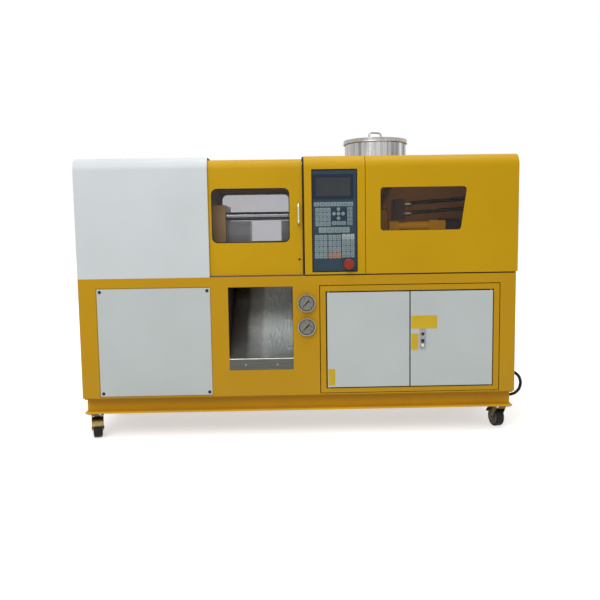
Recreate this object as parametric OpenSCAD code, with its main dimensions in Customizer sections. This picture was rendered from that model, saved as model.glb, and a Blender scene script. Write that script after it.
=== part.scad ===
// Small horizontal injection moulding machine in a sheet-steel cabinet on four swivel casters.
// X runs along the machine, Y from the operator's side to the back, Z up from the floor. Millimetres.

/* [Cabinet] */
// Depth of the cabinet from front to back
body_d = 480; // [460:10:560]
// Height of the cabinet from the base channels to the top of the bed
cabinet_h = 458; // [450:1:520]
// Thickness of the cabinet sheet
sheet_t = 3; // [2:0.5:4]
// Thickness of the bed plate
bed_t = 20; // [15:1:25]
// Depth of the drop hole in the bed
drop_hole_d = 260; // [200:5:300]
// Space between the drop hole and the chute sides
drop_hole_margin = 6; // [4:1:20]

/* [Base and casters] */
// Height of the base channels
channel_h = 63; // [50:1:80]
// Flange width of the base channels
channel_flange = 40; // [34:1:46]
// Web thickness of the base channels
channel_web = 5; // [4:0.5:8]
// Flange thickness of the base channels
channel_flange_t = 7; // [5:0.5:9]
// How far the channels stop short of the cabinet ends
base_end_gap = 3; // [0:1:10]
// How far the long channels stand back from the cabinet front and back
base_setback = 12; // [6:1:16]
// Height of a caster from the floor to its plate
caster_h = 100; // [96:1:110]
// Length of a caster plate
caster_plate_l = 95; // [80:1:105]
// Width of a caster plate
caster_plate_w = 60; // [54:1:70]
// Thickness of a caster plate
caster_plate_t = 4; // [3:0.5:6]
// Distance of the swivel axis from the cabinet front and back
caster_inset = 70; // [66:1:90]
// Trail of the wheel behind the swivel axis
trail = 27; // [20:1:32]
// Diameter of a caster wheel
wheel_d = 75; // [65:1:76]
// Width of a caster wheel
wheel_w = 32; // [24:1:34]
// Radius of the swivel race
race_r = 24; // [21:1:28]
// Height of the fixed half of the swivel race
race_h = 10; // [8:1:12]
// Thickness of the fork crown
crown_t = 5; // [4:0.5:6]
// Thickness of a fork leg
fork_t = 3; // [2:0.5:4]
// Radius of the wheel axle
axle_r = 5; // [4:0.5:6]
// Wall of a fork leg around the axle
boss_wall = 6; // [4:0.5:8]
// Angle of the front left caster from the X axis
front_left_turn = -75; // [-180:1:180]
// Angle of the front right caster from the X axis
front_right_turn = 104; // [-180:1:180]
// Angle of the rear casters from the X axis
rear_turn = 90; // [-180:1:180]

/* [Front openings] */
// Drop from the bed to the top of the front openings
opening_top_gap = 39; // [32:1:50]
// Height of the front openings above the underside of the cabinet
opening_bottom_gap = 7; // [7:1:12]
// Distance of the access panel from the cabinet end
panel_margin = 69; // [50:1:90]
// Gap around a panel or frame in its opening
panel_gap = 3; // [2:0.5:4]
// Width of the ledge that a panel is screwed to
ledge_w = 16; // [12:1:24]
// Distance from the access panel to the chute opening
panel_to_chute = 68; // [50:1:80]
// Distance of the chute opening from the end of the clamp cover
chute_offset = 67; // [56:1:74]
// Width of the chute opening
chute_w = 245; // [225:1:260]
// Height of the chute opening
chute_opening_h = 319; // [280:1:340]
// Height of the lip at the front of the chute
chute_lip_h = 43; // [30:1:60]
// Depth of the chute
chute_d = 400; // [340:5:420]
// Rise of the chute floor from the lip to the back
chute_rise = 245; // [200:1:250]
// Thickness of the chute sheet
chute_t = 2; // [1.5:0.5:3]
// Distance of the gauges from the chute opening
gauge_offset = 52; // [44:1:56]
// Drop from the top of the openings to the upper gauge
gauge_drop = 64; // [50:1:80]
// Distance between the two gauges
gauge_pitch = 91; // [80:1:110]
// Diameter of a gauge
gauge_d = 68; // [60:1:72]
// Width of the gauge rim around its case
gauge_rim = 4; // [3:0.5:6]
// Depth of a gauge case behind the cabinet front
gauge_case_l = 34; // [28:1:40]
// How far a gauge stands in front of the cabinet
gauge_h = 14; // [10:1:18]

/* [Electrical cabinet] */
// Distance of the electrical cabinet from the right end
box_margin = 62; // [40:1:80]
// Distance of the electrical cabinet from the middle of the gauges
gauge_to_box = 52; // [46:1:70]
// Depth of the electrical cabinet
box_d = 220; // [160:5:260]
// Border of the frame around the doors
box_border = 21; // [18:1:30]
// Border of that frame below the doors
box_sill = 16; // [14:1:24]
// Depth of the frame around the doors
frame_d = 14; // [12:1:18]
// Sheet thickness of the box and its doors
box_t = 2; // [1.5:0.5:3]
// Gap around the doors
leaf_gap = 5; // [4:0.5:7]
// Thickness of a door
leaf_t = 20; // [16:1:24]
// How far the doors stand in front of the cabinet
leaf_proud = 2; // [1:0.5:4]
// Distance of a hinge axis from the edge and the face of its door
hinge_inset = 6; // [5:0.5:7]
// Radius of a hinge pin
pin_r = 3; // [2:0.5:3.5]
// Reach of a hinge pin into its door
pin_reach = 9; // [6:1:12]
// Width of the latch plate
latch_w = 21; // [16:1:26]
// Height of the latch plate
latch_h = 72; // [60:1:90]
// Distance of the latch plate from the edge of its door
latch_margin = 35; // [20:1:60]
// How far the latch stands off the door
latch_t = 5; // [3:0.5:8]

/* [Covers] */
// Height of the covers above the bed
cover_h = 450; // [440:1:500]
// Radius of the rounded top edges of the covers
cover_r = 45; // [40:1:60]
// Sheet thickness of the covers
cover_t = 2; // [1.5:0.5:3]
// Length of the clamp cover
clamp_cover_l = 497; // [470:1:520]
// Length of the control housing
control_l = 228.5; // [215:0.5:240]
// Length of the injection cover
injection_l = 578; // [540:1:640]
// Gap between the control housing and the injection cover
cover_seam = 2; // [1:0.5:4]
// How far the injection cover hangs over the cabinet end
cover_overhang = 6; // [0:1:12]
// Height of the rubber seal below the covers
seal_h = 5; // [4:0.5:8]
// Width of the rubber seal
seal_w = 12; // [8:1:16]
// Setback of the seal from the face of the covers
seal_setback = 4; // [3:0.5:6]
// Width of the flange along the bottom of a cover
cover_flange = 20; // [18:1:26]

/* [Safety door] */
// Length of the door that shows beside the clamp cover
door_show = 353; // [345:1:370]
// Length of the door inside the clamp cover
door_lap = 12; // [8:1:30]
// Setback of the door from the face of the covers
door_inset = 10; // [9:1:14]
// Gap between the door and the control housing
door_gap = 7.5; // [6:0.5:12]
// Height of the rail that carries the door
rail_h = 5; // [4:0.5:8]
// Width of the rails
rail_w = 12; // [10:1:16]
// Height of the upper guide rail
guide_h = 15; // [10:1:20]
// Width of the returned edge of the door
door_return = 20; // [15:1:26]
// Gap between the returned edge of the door and the fixed pieces beside it
return_gap = 5; // [5:0.5:8]
// Width of the jamb behind the closing edge of the door
jamb_w = 24; // [18:1:30]
// Distance of the window from the closing edge of the door
window_margin = 48; // [40:1:56]
// Width of the window
window_w = 293; // [260:1:294]
// Height of the window
window_h = 203; // [180:1:230]
// Height of the window above the bed
window_z = 128; // [110:1:140]
// Corner radius of the window
window_r = 22; // [12:1:30]
// Thickness of the window panes
pane_t = 4; // [3:0.5:6]
// Overlap of a pane behind its sheet
pane_lap = 10; // [6:1:14]
// Distance of the handle from the closing edge of the door
handle_margin = 15; // [12:1:18]
// Height of the middle of the handle above the bed
handle_z = 234; // [200:1:260]
// Length of the handle between its legs
handle_l = 75; // [60:1:110]
// How far the handle stands off the door
handle_h = 34; // [28:1:36]
// Thickness of the handle
handle_d = 9; // [7:0.5:12]

/* [Control panel] */
// Distance of the control panel from the edge of its housing
console_margin = 27.5; // [20:0.5:32]
// Width of the control panel
console_w = 172; // [165:1:180]
// Height of the control panel
console_h = 385; // [370:1:386]
// Height of the control panel above the bed
console_z = 13; // [13:1:20]
// Overlap of the control panel behind its housing
console_lap = 5; // [3:0.5:5]
// Thickness of the control panel face
console_t = 4; // [3:0.5:6]
// Depth of the case behind the control panel
console_case = 36; // [20:1:50]
// Width of the display bezel
bezel_w = 151; // [130:1:156]
// Height of the display bezel
bezel_h = 90; // [80:1:100]
// Distance of the display bezel from the side of the panel
bezel_side = 6; // [4:1:10]
// Drop from the top of the panel to the bezel
bezel_drop = 20; // [12:1:30]
// How far the bezel stands off the panel
bezel_t = 3; // [2:0.5:5]
// Width of the display screen
screen_w = 131; // [110:1:134]
// Height of the display screen
screen_h = 71; // [60:1:76]
// Thickness of the keys above the panel
key_t = 1.5; // [1:0.5:2.5]
// Diameter of the emergency stop button
stop_d = 40; // [36:1:44]
// How far the emergency stop button stands off the panel
stop_h = 30; // [28:1:34]
// Stroke of the emergency stop button
stop_stroke = 5; // [3:0.5:6]
// Distance of the emergency stop button from the side and the foot of the panel
stop_edge = [35, 30]; // [25:1:45]

/* [Injection window] */
// Distance of the window from the left end of the injection cover
side_window_margin = 56; // [40:1:70]
// Width of the window along its top
side_window_w = 324; // [280:1:340]
// How much shorter the window is along its foot
side_window_slant = 20; // [0:1:40]
// Height of the window
side_window_h = 161; // [140:1:180]
// Height of the window above the bed
side_window_z = 167; // [150:1:190]
// Corner radius of the window
side_window_r = 12; // [8:1:20]

/* [Hopper] */
// Distance of the hopper axis from the left end of the injection cover
hopper_offset = 67; // [60:1:80]
// Radius of the hopper
hopper_r = 123; // [110:1:126]
// Wall thickness of the hopper
hopper_t = 2; // [1.5:0.5:3]
// Height of the hopper rim above the covers
hopper_rise = 76; // [60:1:100]
// Height of the straight part of the hopper
hopper_straight = 70; // [50:1:90]
// Radius of the hopper throat
throat_r = 24; // [18:1:28]
// Radius of the hopper flange
hopper_flange_r = 45; // [36:1:50]
// Thickness of the hopper flange
hopper_flange_t = 6; // [4:1:8]
// Gap between the hopper and the covers
hopper_gap = 15; // [10:1:20]
// Gap between the lid skirt and the hopper
lid_gap = 3; // [2:0.5:5]
// Height of the lid skirt
lid_h = 14; // [10:1:20]
// Radius of the rolled edge of the lid
lid_bead_r = 2.5; // [2:0.5:4]
// Length of the lid handle between its legs
lid_handle_l = 56; // [50:1:90]
// Height of the lid handle
lid_handle_h = 36; // [30:1:45]
// Thickness of the lid handle
lid_handle_d = 7; // [6:0.5:10]
// Turn of the lid handle
lid_handle_turn = 25; // [0:5:90]

/* [Clamp unit] */
// Height of the clamp and injection axis above the bed
axis_h = 152; // [145:1:165]
// Distance between the tie bars across the machine
tie_span_y = 180; // [170:1:200]
// Distance between the upper and lower tie bars
tie_span_z = 160; // [150:1:170]
// Diameter of a tie bar
tie_d = 30; // [24:1:34]
// Diameter of a tie bar nut
nut_d = 48; // [42:1:54]
// Length of a tie bar nut
nut_l = 20; // [16:1:26]
// Metal of a platen beyond the tie bar axes
platen_edge = 42; // [38:1:48]
// Thickness of the platens
platen_t = 60; // [50:1:62]
// Gap between the moving platen and the bed
platen_lift = 30; // [20:1:36]
// Distance of the rear platen from the end of the clamp cover
rear_platen_x = 45; // [30:1:60]
// Distance of the fixed platen from the edge of the door
fixed_platen_x = 9; // [6:1:16]
// Thickness of the fixed mould base
fixed_mould_t = 90; // [70:1:95]
// Thickness of the moving mould base
moving_mould_t = 93; // [70:1:95]
// Width of the mould bases
mould_w = 140; // [120:1:144]
// Height of the mould bases
mould_h = 120; // [100:1:124]
// Opening between the mould bases
daylight = 124; // [110:1:130]
// Distance across the machine between the mould bolts
bolt_span_y = 100; // [80:1:104]
// Distance up the machine between the mould bolts
bolt_span_z = 80; // [70:1:90]
// Radius of a tapped mould bolt hole
bolt_r = 4.25; // [3:0.25:5]
// Depth of a mould bolt hole
bolt_depth = 25; // [16:1:30]
// Radius of the nozzle bore in the fixed platen
nozzle_bore_r = 30; // [24:1:34]
// Radius of the clamp cylinder
clamp_cyl_r = 60; // [50:1:62]
// Length of the clamp cylinder
clamp_cyl_l = 260; // [240:1:270]
// Radius of the clamp ram
ram_r = 28; // [22:1:32]
// Length of the clamp ram
ram_l = 284; // [280:1:290]

/* [Injection unit] */
// Radius of the barrel
barrel_r = 28; // [22:1:30]
// Gap between the barrel and the fixed platen
barrel_gap = 4; // [3:1:8]
// Radius over the heater bands
band_r = 40; // [34:1:44]
// Length of a heater band
band_l = 45; // [36:1:48]
// Radius of the nozzle
nozzle_r = 15; // [12:1:18]
// Gap between the nozzle and the fixed mould base
nozzle_gap = 2; // [1:0.5:4]
// Length of the feed block
feed_l = 80; // [70:1:90]
// Width of the feed block
feed_w = 120; // [100:1:130]
// Height of the feed block above the bed
feed_h = 249; // [240:1:260]
// Depth of the feed hole
feed_depth = 66; // [50:1:90]
// Height of the carriage rails
carriage_rail_h = 20; // [15:1:25]
// Thickness of the carriage plate
carriage_t = 19; // [15:1:25]
// Width of the carriage
carriage_w = 230; // [220:1:250]
// Thickness of the carriage cross plates
cross_t = 38; // [30:1:44]
// Height of the front cross plate above the bed
cross_h = 204; // [196:1:215]
// Distance between the injection cylinders
inj_cyl_span = 190; // [180:1:196]
// Height of the injection cylinders above the bed
inj_cyl_z = 181; // [170:1:186]
// Radius of the injection cylinders
inj_cyl_r = 20; // [16:1:24]
// Length of the injection cylinders
inj_cyl_l = 119; // [100:1:130]
// Length of the cylinder end caps
inj_cap_l = 28; // [20:1:34]
// Edge of the end caps around the cylinders
inj_cap_edge = 3; // [2:0.5:6]
// Length of the body of the screw motor
motor_l = 80; // [60:1:100]
// Radius of the screw motor
motor_r = 62; // [50:1:66]
// Length of the hose manifold
manifold_l = 46; // [40:1:52]
// Width of the hose manifold
manifold_w = 50; // [40:1:60]
// Height of the hose manifold
manifold_h = 83; // [78:1:90]
// Radius of a hydraulic hose
hose_r = 8; // [6:0.5:9]
// Distance of the upper hose's foot from the end of the injection cover
hose_end_gap = 80; // [60:1:100]
// Upward tilt of the hoses
hose_tilt = 4; // [0:1:8]
// Length of a hose fitting
fitting_l = 26; // [20:1:34]
// Wall of a hose fitting around its hose
fitting_wall = 3; // [2:0.5:5]
// Bend radius of the hoses
hose_bend = 64; // [50:1:80]
// Distance of the upper hose from the top of the manifold
hose_edge = 8; // [5:1:12]
// Distance between the two hoses
hose_pitch = 38; // [30:1:42]

/* [Supply cable] */
// Radius of the cable that loops from the cabinet to the base
cable_r = 6; // [5:0.5:7]
// Distance of the cable from the cabinet front
cable_y = 120; // [100:5:200]
// Height of the upper cable gland above the underside of the cabinet
cable_rise = 52; // [46:1:60]
// Radius of a cable gland
gland_r = 11; // [10:1:12]
// Length of a cable gland
gland_l = 16; // [12:1:20]

/* [Clearances] */
// Clearance between sliding faces
run_gap = 0.3; // [0.2:0.1:0.5]
// Clearance around a turning pin
pin_gap = 0.1; // [0.05:0.05:0.2]
// Clearance of a wheel in its fork
wheel_gap = 3; // [2:0.5:5]

/* [Hidden] */
$fn = 48;
// Overshoot of every cutting solid
cut = 1;
// Reach of the foremost piece in front of the cabinet
front_reach = max(stop_h - cover_t, handle_h - door_inset);
body_l = clamp_cover_l + door_show + door_gap + control_l + cover_seam + injection_l - cover_overhang;
left_x = -body_l / 2;
right_x = body_l / 2;
clamp_end_x = left_x + clamp_cover_l;
front_y = front_reach / 2 - body_d / 2;
back_y = front_y + body_d;
mid_y = front_y + body_d / 2;
// Heights
cabinet_z = caster_h + channel_h;
bed_z = cabinet_z + cabinet_h;
cover_top_z = bed_z + cover_h;
axis_z = bed_z + axis_h;
opening_top_z = bed_z - opening_top_gap;
opening_bottom_z = cabinet_z + opening_bottom_gap;
// Base and casters
base_l = body_l - 2 * base_end_gap;
base_y = front_y + base_setback;
web_inset = channel_flange - channel_web;
caster_x = base_l / 2 - caster_plate_w / 2;
front_caster_y = front_y + caster_inset;
back_caster_y = back_y - caster_inset;
axle_z = wheel_d / 2;
race_z = caster_h - caster_plate_t - race_h;
crown_z = race_z - run_gap - crown_t;
fork_gap = wheel_w / 2 + wheel_gap;
boss_r = axle_r + boss_wall;
guard_r = wheel_d / 2 + wheel_gap;
// Front openings
panel_x = left_x + panel_margin;
chute_x = clamp_end_x + chute_offset;
panel_w = chute_x - panel_to_chute - panel_x;
rear_panel_x = right_x - panel_margin - panel_w;
chute_bottom_z = opening_top_z - chute_opening_h;
chute_back_y = front_y + chute_d;
gauge_x = chute_x + chute_w + gauge_offset;
gauge_z = opening_top_z - gauge_drop;
gauge_case_r = gauge_d / 2 - gauge_rim;
// Electrical cabinet
box_x = gauge_x + gauge_to_box;
box_w = right_x - box_margin - box_x;
leaf_w = (box_w - 2 * box_border - 3 * leaf_gap) / 2;
leaf_z = opening_bottom_z + box_sill + leaf_gap;
leaf_top_z = opening_top_z - box_border - leaf_gap;
leaf_y = front_y - leaf_proud;
left_leaf_x = box_x + box_border + leaf_gap;
right_leaf_x = left_leaf_x + leaf_w + leaf_gap;
hinge_y = leaf_y + hinge_inset;
hinge_left_x = left_leaf_x + hinge_inset;
hinge_right_x = right_leaf_x + leaf_w - hinge_inset;
latch_x = right_leaf_x + latch_margin;
latch_z = (leaf_z + leaf_top_z - latch_h) / 2;
plate_stand = 12;
plate_edge = 24;
// Covers
door_x = clamp_end_x - door_lap;
door_end_x = clamp_end_x + door_show;
door_l = door_end_x - door_x;
door_face_y = front_y + door_inset;
door_z = bed_z + rail_h + run_gap;
control_x = door_end_x + door_gap;
control_end_x = control_x + control_l;
injection_x = control_end_x + cover_seam;
injection_end_x = injection_x + injection_l;
cover_z = bed_z + seal_h;
cheek_w = cover_r - 5;
guide_top_z = cover_top_z - door_inset - cover_t - run_gap;
return_end_y = mid_y - rail_w / 2 - return_gap;
window_x = door_end_x - window_margin - window_w;
console_x = control_x + console_margin;
console_bottom_z = bed_z + console_z;
console_face_y = front_y + cover_t;
console_top_z = console_bottom_z + console_h;
bezel_x = console_x + bezel_side;
bezel_z = console_top_z - bezel_drop - bezel_h;
stop_x = console_x + console_w - stop_edge[0];
stop_z = console_bottom_z + stop_edge[1];
stop_stem_r = stop_d / 4;
collar_h = 8;
side_window_x = injection_x + side_window_margin;
side_window_bottom_z = bed_z + side_window_z;
// Key fields as left edge, foot, columns, rows, key width and key height, from the lower left corner of
// a panel of this width
key_panel_w = 172;
key_scale = console_w / key_panel_w;
key_gap = 1.5;
key_fields = [
    [9, 247, 7, 1, 19.7, 15.5],
    [14, 173, 4, 4, 13.2, 16],
    [76, 177, 3, 1, 16.5, 14],
    [134, 176, 2, 5, 9, 12.4],
    [26, 148, 4, 1, 28, 21],
    [11, 52, 3, 4, 14.7, 21],
    [62, 52, 3, 4, 14.7, 21],
    [113, 54, 3, 4, 14.7, 21]
];
// Middle of the arrow keys, their radius and their distance from the middle
arrow_at = [101, 219];
arrow_r = 7;
arrow_pitch = 17;
// Hopper
hopper_x = injection_x + hopper_offset;
feed_top_z = bed_z + feed_h;
hopper_top_z = cover_top_z + hopper_rise;
hopper_cone_z = hopper_top_z - hopper_straight;
lid_r = hopper_r + lid_gap + hopper_t;
lid_z = hopper_top_z + run_gap;
// Clamp unit
platen_w = tie_span_y + 2 * platen_edge;
platen_top_z = axis_z + tie_span_z / 2 + platen_edge;
rear_x = left_x + rear_platen_x;
fixed_x = door_end_x + fixed_platen_x;
fixed_mould_x = fixed_x - fixed_mould_t;
moving_mould_end_x = fixed_mould_x - daylight;
moving_mould_x = moving_mould_end_x - moving_mould_t;
moving_x = moving_mould_x - platen_t;
clamp_cyl_x = rear_x + platen_t;
clamp_cyl_end_x = clamp_cyl_x + clamp_cyl_l;
ram_x = moving_x - ram_l;
tie_x = rear_x - nut_l;
tie_l = fixed_x + platen_t + nut_l - tie_x;
// Injection unit
feed_x = hopper_x - feed_l / 2;
barrel_x = fixed_x + platen_t + barrel_gap;
barrel_l = feed_x - barrel_x;
carriage_z = bed_z + carriage_rail_h;
carriage_top_z = carriage_z + carriage_t;
cross_x = feed_x + feed_l;
cyl_x = cross_x + cross_t;
cap_x = cyl_x + inj_cyl_l;
thrust_x = cap_x + inj_cap_l;
motor_x = thrust_x + cross_t;
manifold_y = mid_y - inj_cyl_span / 2;
manifold_z = bed_z + cross_h;
manifold_x = cyl_x - manifold_l / 2;
manifold_end_x = manifold_x + manifold_l;
hose_upper_z = manifold_z + manifold_h - hose_r - hose_edge;
hose_lower_z = hose_upper_z - hose_pitch;
hose_foot_x = injection_end_x - hose_end_gap;
hose_upper_run = (hose_foot_x - manifold_end_x - hose_bend * (1 + sin(hose_tilt))) / cos(hose_tilt);
hose_lower_run = hose_upper_run - hose_pitch;
// Step where a straight hose enters its bend
hose_step = 0.05;
// Supply cable as points along X and Z, starting inside the upper gland
cable_line_y = front_y + cable_y;
cable_z = cabinet_z + cable_rise;
cable_points = [
    [2, 0], [10, 0], [18, 0], [30, -2], [42, -6], [52, -14], [60, -24], [64, -36], [66, -48],
    [64, -60], [60, -72], [52, -82], [42, -90], [30, -94], [18, -96], [10, -96], [2, -96]
];
cable_sides = 12;

// A flat outline in Y and Z, drawn out along X
module along_x(x, l) {
    translate([x, 0, 0])
        rotate([90, 0, 90])
            linear_extrude(l)
                children();
}

// A flat outline in X and Z, drawn out along Y
module along_y(y, l) {
    translate([0, y + l, 0])
        rotate([90, 0, 0])
            linear_extrude(l)
                children();
}

// A rectangle between two corners
module area(a0, b0, a1, b1) {
    translate([a0, b0])
        square([a1 - a0, b1 - b0]);
}

// A rectangle between two corners with round corners
module round_area(a0, b0, a1, b1, r) {
    area(a0 + r, b0, a1 - r, b1);
    area(a0, b0 + r, a1, b1 - r);
    for (a = [a0 + r, a1 - r])
        for (b = [b0 + r, b1 - r])
            translate([a, b])
                circle(r);
}

// A round bar along X
module bar_x(x, y, z, r, l) {
    translate([x, y, z])
        rotate([0, 90, 0])
            cylinder(r = r, h = l);
}

// A bent bar standing on the plane Z = 0, its legs along X
module bow_handle(l, h, d) {
    bend = d * 1.5;
    for (side = [-1, 1]) {
        translate([side * l / 2, 0, 0])
            cylinder(d = d, h = h - d / 2 - bend);
        translate([side * (l / 2 - bend), 0, h - d / 2 - bend])
            rotate([90, 0, 0])
                rotate([0, 0, side > 0 ? 0 : 90])
                    rotate_extrude(angle = 90)
                        translate([bend, 0])
                            circle(d = d);
    }
    bar_x(-l / 2 + bend, 0, h - d / 2, d / 2, l - 2 * bend);
}

// Section of the covers, set in from their face
module hood_outline(inset, z) {
    r = cover_r - inset;
    top = cover_top_z - inset;
    area(front_y + inset, z, back_y - inset, top - r);
    area(front_y + inset + r, z, back_y - inset - r, top);
    for (y = [front_y + inset + r, back_y - inset - r])
        translate([y, top - r])
            circle(r);
}

// Sheet that follows the section of the covers
module hood_sheet(inset, t, z) {
    difference() {
        hood_outline(inset, z);
        hood_outline(inset + t, z - cut);
    }
}

// The part of a section in front of a given depth
module front_part(z, end_y) {
    intersection() {
        children();
        area(front_y, z, end_y, cover_top_z);
    }
}

// Sheet, end return and foot of the guard in front of the mould
module guard_sheet(x, l, z) {
    difference() {
        union() {
            along_x(x, l)
                front_part(z, mid_y - cut)
                    hood_sheet(door_inset, cover_t, z);
            along_x(x + l - cover_t, cover_t)
                front_part(z, return_end_y)
                    hood_sheet(door_inset, door_return, z);
            along_x(x, l)
                area(door_face_y, z, door_face_y + door_return, z + cover_t);
        }
        along_y(door_face_y - cut, cover_t + 2 * cut)
            round_area(window_x, bed_z + window_z,
                window_x + window_w, bed_z + window_z + window_h, window_r);
    }
}

// A pane behind the window of that guard
module guard_pane() {
    along_y(door_face_y + cover_t, pane_t)
        area(window_x - pane_lap, bed_z + window_z - pane_lap,
            window_x + window_w + pane_lap, bed_z + window_z + window_h + pane_lap);
}

// The same piece at the back of the machine
module at_back() {
    translate([0, 2 * mid_y, 0])
        mirror([0, 1, 0])
            children();
}

// Opening of a screwed panel and the ledge behind it, in X and Z
module panel_opening(x) {
    area(x - panel_gap, opening_bottom_z - panel_gap,
        x + panel_w + panel_gap, opening_top_z + panel_gap);
}

module panel_ledge(x) {
    lap = opening_bottom_gap - sheet_t;
    difference() {
        area(x - lap, opening_bottom_z - lap, x + panel_w + lap, opening_top_z + lap);
        area(x + ledge_w, opening_bottom_z + ledge_w, x + panel_w - ledge_w, opening_top_z - ledge_w);
    }
}

module panel_plate(x) {
    along_y(front_y, sheet_t)
        area(x, opening_bottom_z, x + panel_w, opening_top_z);
}

// One long channel of the base, open to the outside
module side_channel() {
    along_x(-base_l / 2, base_l)
        difference() {
            area(base_y, caster_h, base_y + channel_flange, cabinet_z);
            area(base_y - cut, caster_h + channel_flange_t,
                base_y + web_inset, cabinet_z - channel_flange_t);
        }
}

// Long channels of the base
module base_side_channels() {
    color("goldenrod") {
        side_channel();
        at_back()
            side_channel();
    }
}

// Short channels between them
module base_end_channels() {
    inner_y = base_y + channel_flange;
    color("goldenrod")
        for (side = [0, 1])
            mirror([side, 0, 0])
                along_y(inner_y, 2 * (mid_y - inner_y))
                    difference() {
                        area(base_l / 2 - channel_flange, caster_h, base_l / 2, cabinet_z);
                        area(base_l / 2 - channel_flange - cut, caster_h + channel_flange_t,
                            base_l / 2 - channel_web, cabinet_z - channel_flange_t);
                    }
}

// Caster plates with the fixed half of each swivel
module caster_plates() {
    color("darkkhaki")
        for (x = [-caster_x, caster_x])
            for (y = [front_caster_y, back_caster_y]) {
                translate([x - caster_plate_w / 2, y - caster_plate_l / 2, caster_h - caster_plate_t])
                    cube([caster_plate_w, caster_plate_l, caster_plate_t]);
                translate([x, y, race_z])
                    cylinder(r = race_r, h = race_h);
            }
}

// A swivelling fork with its wheel trailing along X, the swivel axis on the Z axis
module caster_fork(braked) {
    color("darkkhaki") {
        translate([0, 0, crown_z])
            cylinder(r = race_r, h = crown_t);
        for (side = [0, 1])
            mirror([0, side, 0])
                along_y(fork_gap, fork_t) {
                    polygon([[-race_r / 2, crown_z + crown_t], [race_r / 2, crown_z + crown_t],
                        [trail + boss_r, axle_z], [trail - boss_r, axle_z]]);
                    translate([trail, axle_z])
                        circle(boss_r);
                }
        translate([trail, 0, axle_z])
            rotate([90, 0, 0])
                cylinder(r = axle_r, h = 2 * (fork_gap + fork_t) + 4, center = true);
        if (braked)
            translate([trail, fork_gap + fork_t, axle_z])
                rotate([90, 0, 0])
                    rotate([0, 0, 20])
                        rotate_extrude(angle = 75)
                            area(guard_r, 0, guard_r + fork_t, 2 * (fork_gap + fork_t));
    }
}

// A wheel on that fork
module caster_wheel() {
    edge = 5;
    color("dimgray")
        translate([trail, 0, axle_z])
            rotate([90, 0, 0])
                difference() {
                    union() {
                        cylinder(r = wheel_d / 2 - edge, h = wheel_w, center = true);
                        cylinder(r = wheel_d / 2, h = wheel_w - 2 * edge, center = true);
                        for (z = [edge - wheel_w / 2, wheel_w / 2 - edge])
                            translate([0, 0, z])
                                rotate_extrude()
                                    translate([wheel_d / 2 - edge, 0])
                                        circle(edge);
                    }
                    cylinder(r = axle_r + pin_gap, h = wheel_w + 2 * cut, center = true);
                }
}

// The place of a caster, its wheel trailing at an angle from the X axis
module at_caster(x, y, turn) {
    translate([x, y, 0])
        rotate([0, 0, turn])
            children();
}

// Floor of the cabinet
module cabinet_floor() {
    color("goldenrod")
        translate([left_x + sheet_t, front_y + sheet_t, cabinet_z])
            cube([body_l - 2 * sheet_t, body_d - 2 * sheet_t, sheet_t]);
}

// Front sheet with its openings
module cabinet_front() {
    color("goldenrod") {
        along_y(front_y, sheet_t)
            difference() {
                area(left_x, cabinet_z, right_x, bed_z);
                panel_opening(panel_x);
                area(chute_x, chute_bottom_z, chute_x + chute_w, opening_top_z);
                area(box_x - panel_gap, opening_bottom_z - panel_gap,
                    box_x + box_w + panel_gap, opening_top_z + panel_gap);
                for (z = [gauge_z, gauge_z - gauge_pitch])
                    translate([gauge_x, z])
                        circle(gauge_case_r + run_gap);
            }
        along_y(front_y + sheet_t, sheet_t)
            panel_ledge(panel_x);
    }
}

// End sheets
module cabinet_sides() {
    color("goldenrod")
        for (x = [left_x, right_x - sheet_t])
            translate([x, front_y + sheet_t, cabinet_z])
                cube([sheet_t, body_d - 2 * sheet_t, cabinet_h]);
}

// Back sheet with two panel openings
module cabinet_back() {
    color("goldenrod")
        at_back() {
            along_y(front_y, sheet_t)
                difference() {
                    area(left_x, cabinet_z, right_x, bed_z);
                    panel_opening(panel_x);
                    panel_opening(rear_panel_x);
                }
            along_y(front_y + sheet_t, sheet_t) {
                panel_ledge(panel_x);
                panel_ledge(rear_panel_x);
            }
        }
}

// Bed plate with the hole that moulded parts drop through
module machine_bed() {
    color("goldenrod")
        difference() {
            translate([left_x + sheet_t, front_y + sheet_t, bed_z - bed_t])
                cube([body_l - 2 * sheet_t, body_d - 2 * sheet_t, bed_t]);
            translate([chute_x + drop_hole_margin, mid_y - drop_hole_d / 2, bed_z - bed_t - cut])
                cube([chute_w - 2 * drop_hole_margin, drop_hole_d, bed_t + 2 * cut]);
        }
}

// Screwed panels, one in front and two at the back
module access_panels() {
    color("lightgray") {
        panel_plate(panel_x);
        at_back() {
            panel_plate(panel_x);
            panel_plate(rear_panel_x);
        }
    }
}

// Folded chute sheet from the front lip to the back
module chute_floor() {
    lip_top = chute_bottom_z + chute_lip_h;
    lip_y = front_y + cut;
    color("silver")
        along_x(chute_x, chute_w) {
            area(lip_y, chute_bottom_z, lip_y + chute_t, lip_top);
            polygon([[lip_y, lip_top - chute_t], [lip_y, lip_top],
                [chute_back_y, lip_top + chute_rise], [chute_back_y, lip_top + chute_rise - chute_t]]);
            area(chute_back_y - chute_t, lip_top + chute_rise - chute_t, chute_back_y, bed_z - bed_t);
        }
}

// Sides of the chute
module chute_sides() {
    color("silver")
        for (x = [chute_x - chute_t, chute_x + chute_w])
            along_x(x, chute_t)
                area(front_y + sheet_t, chute_bottom_z, chute_back_y, bed_z - bed_t);
}

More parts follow.
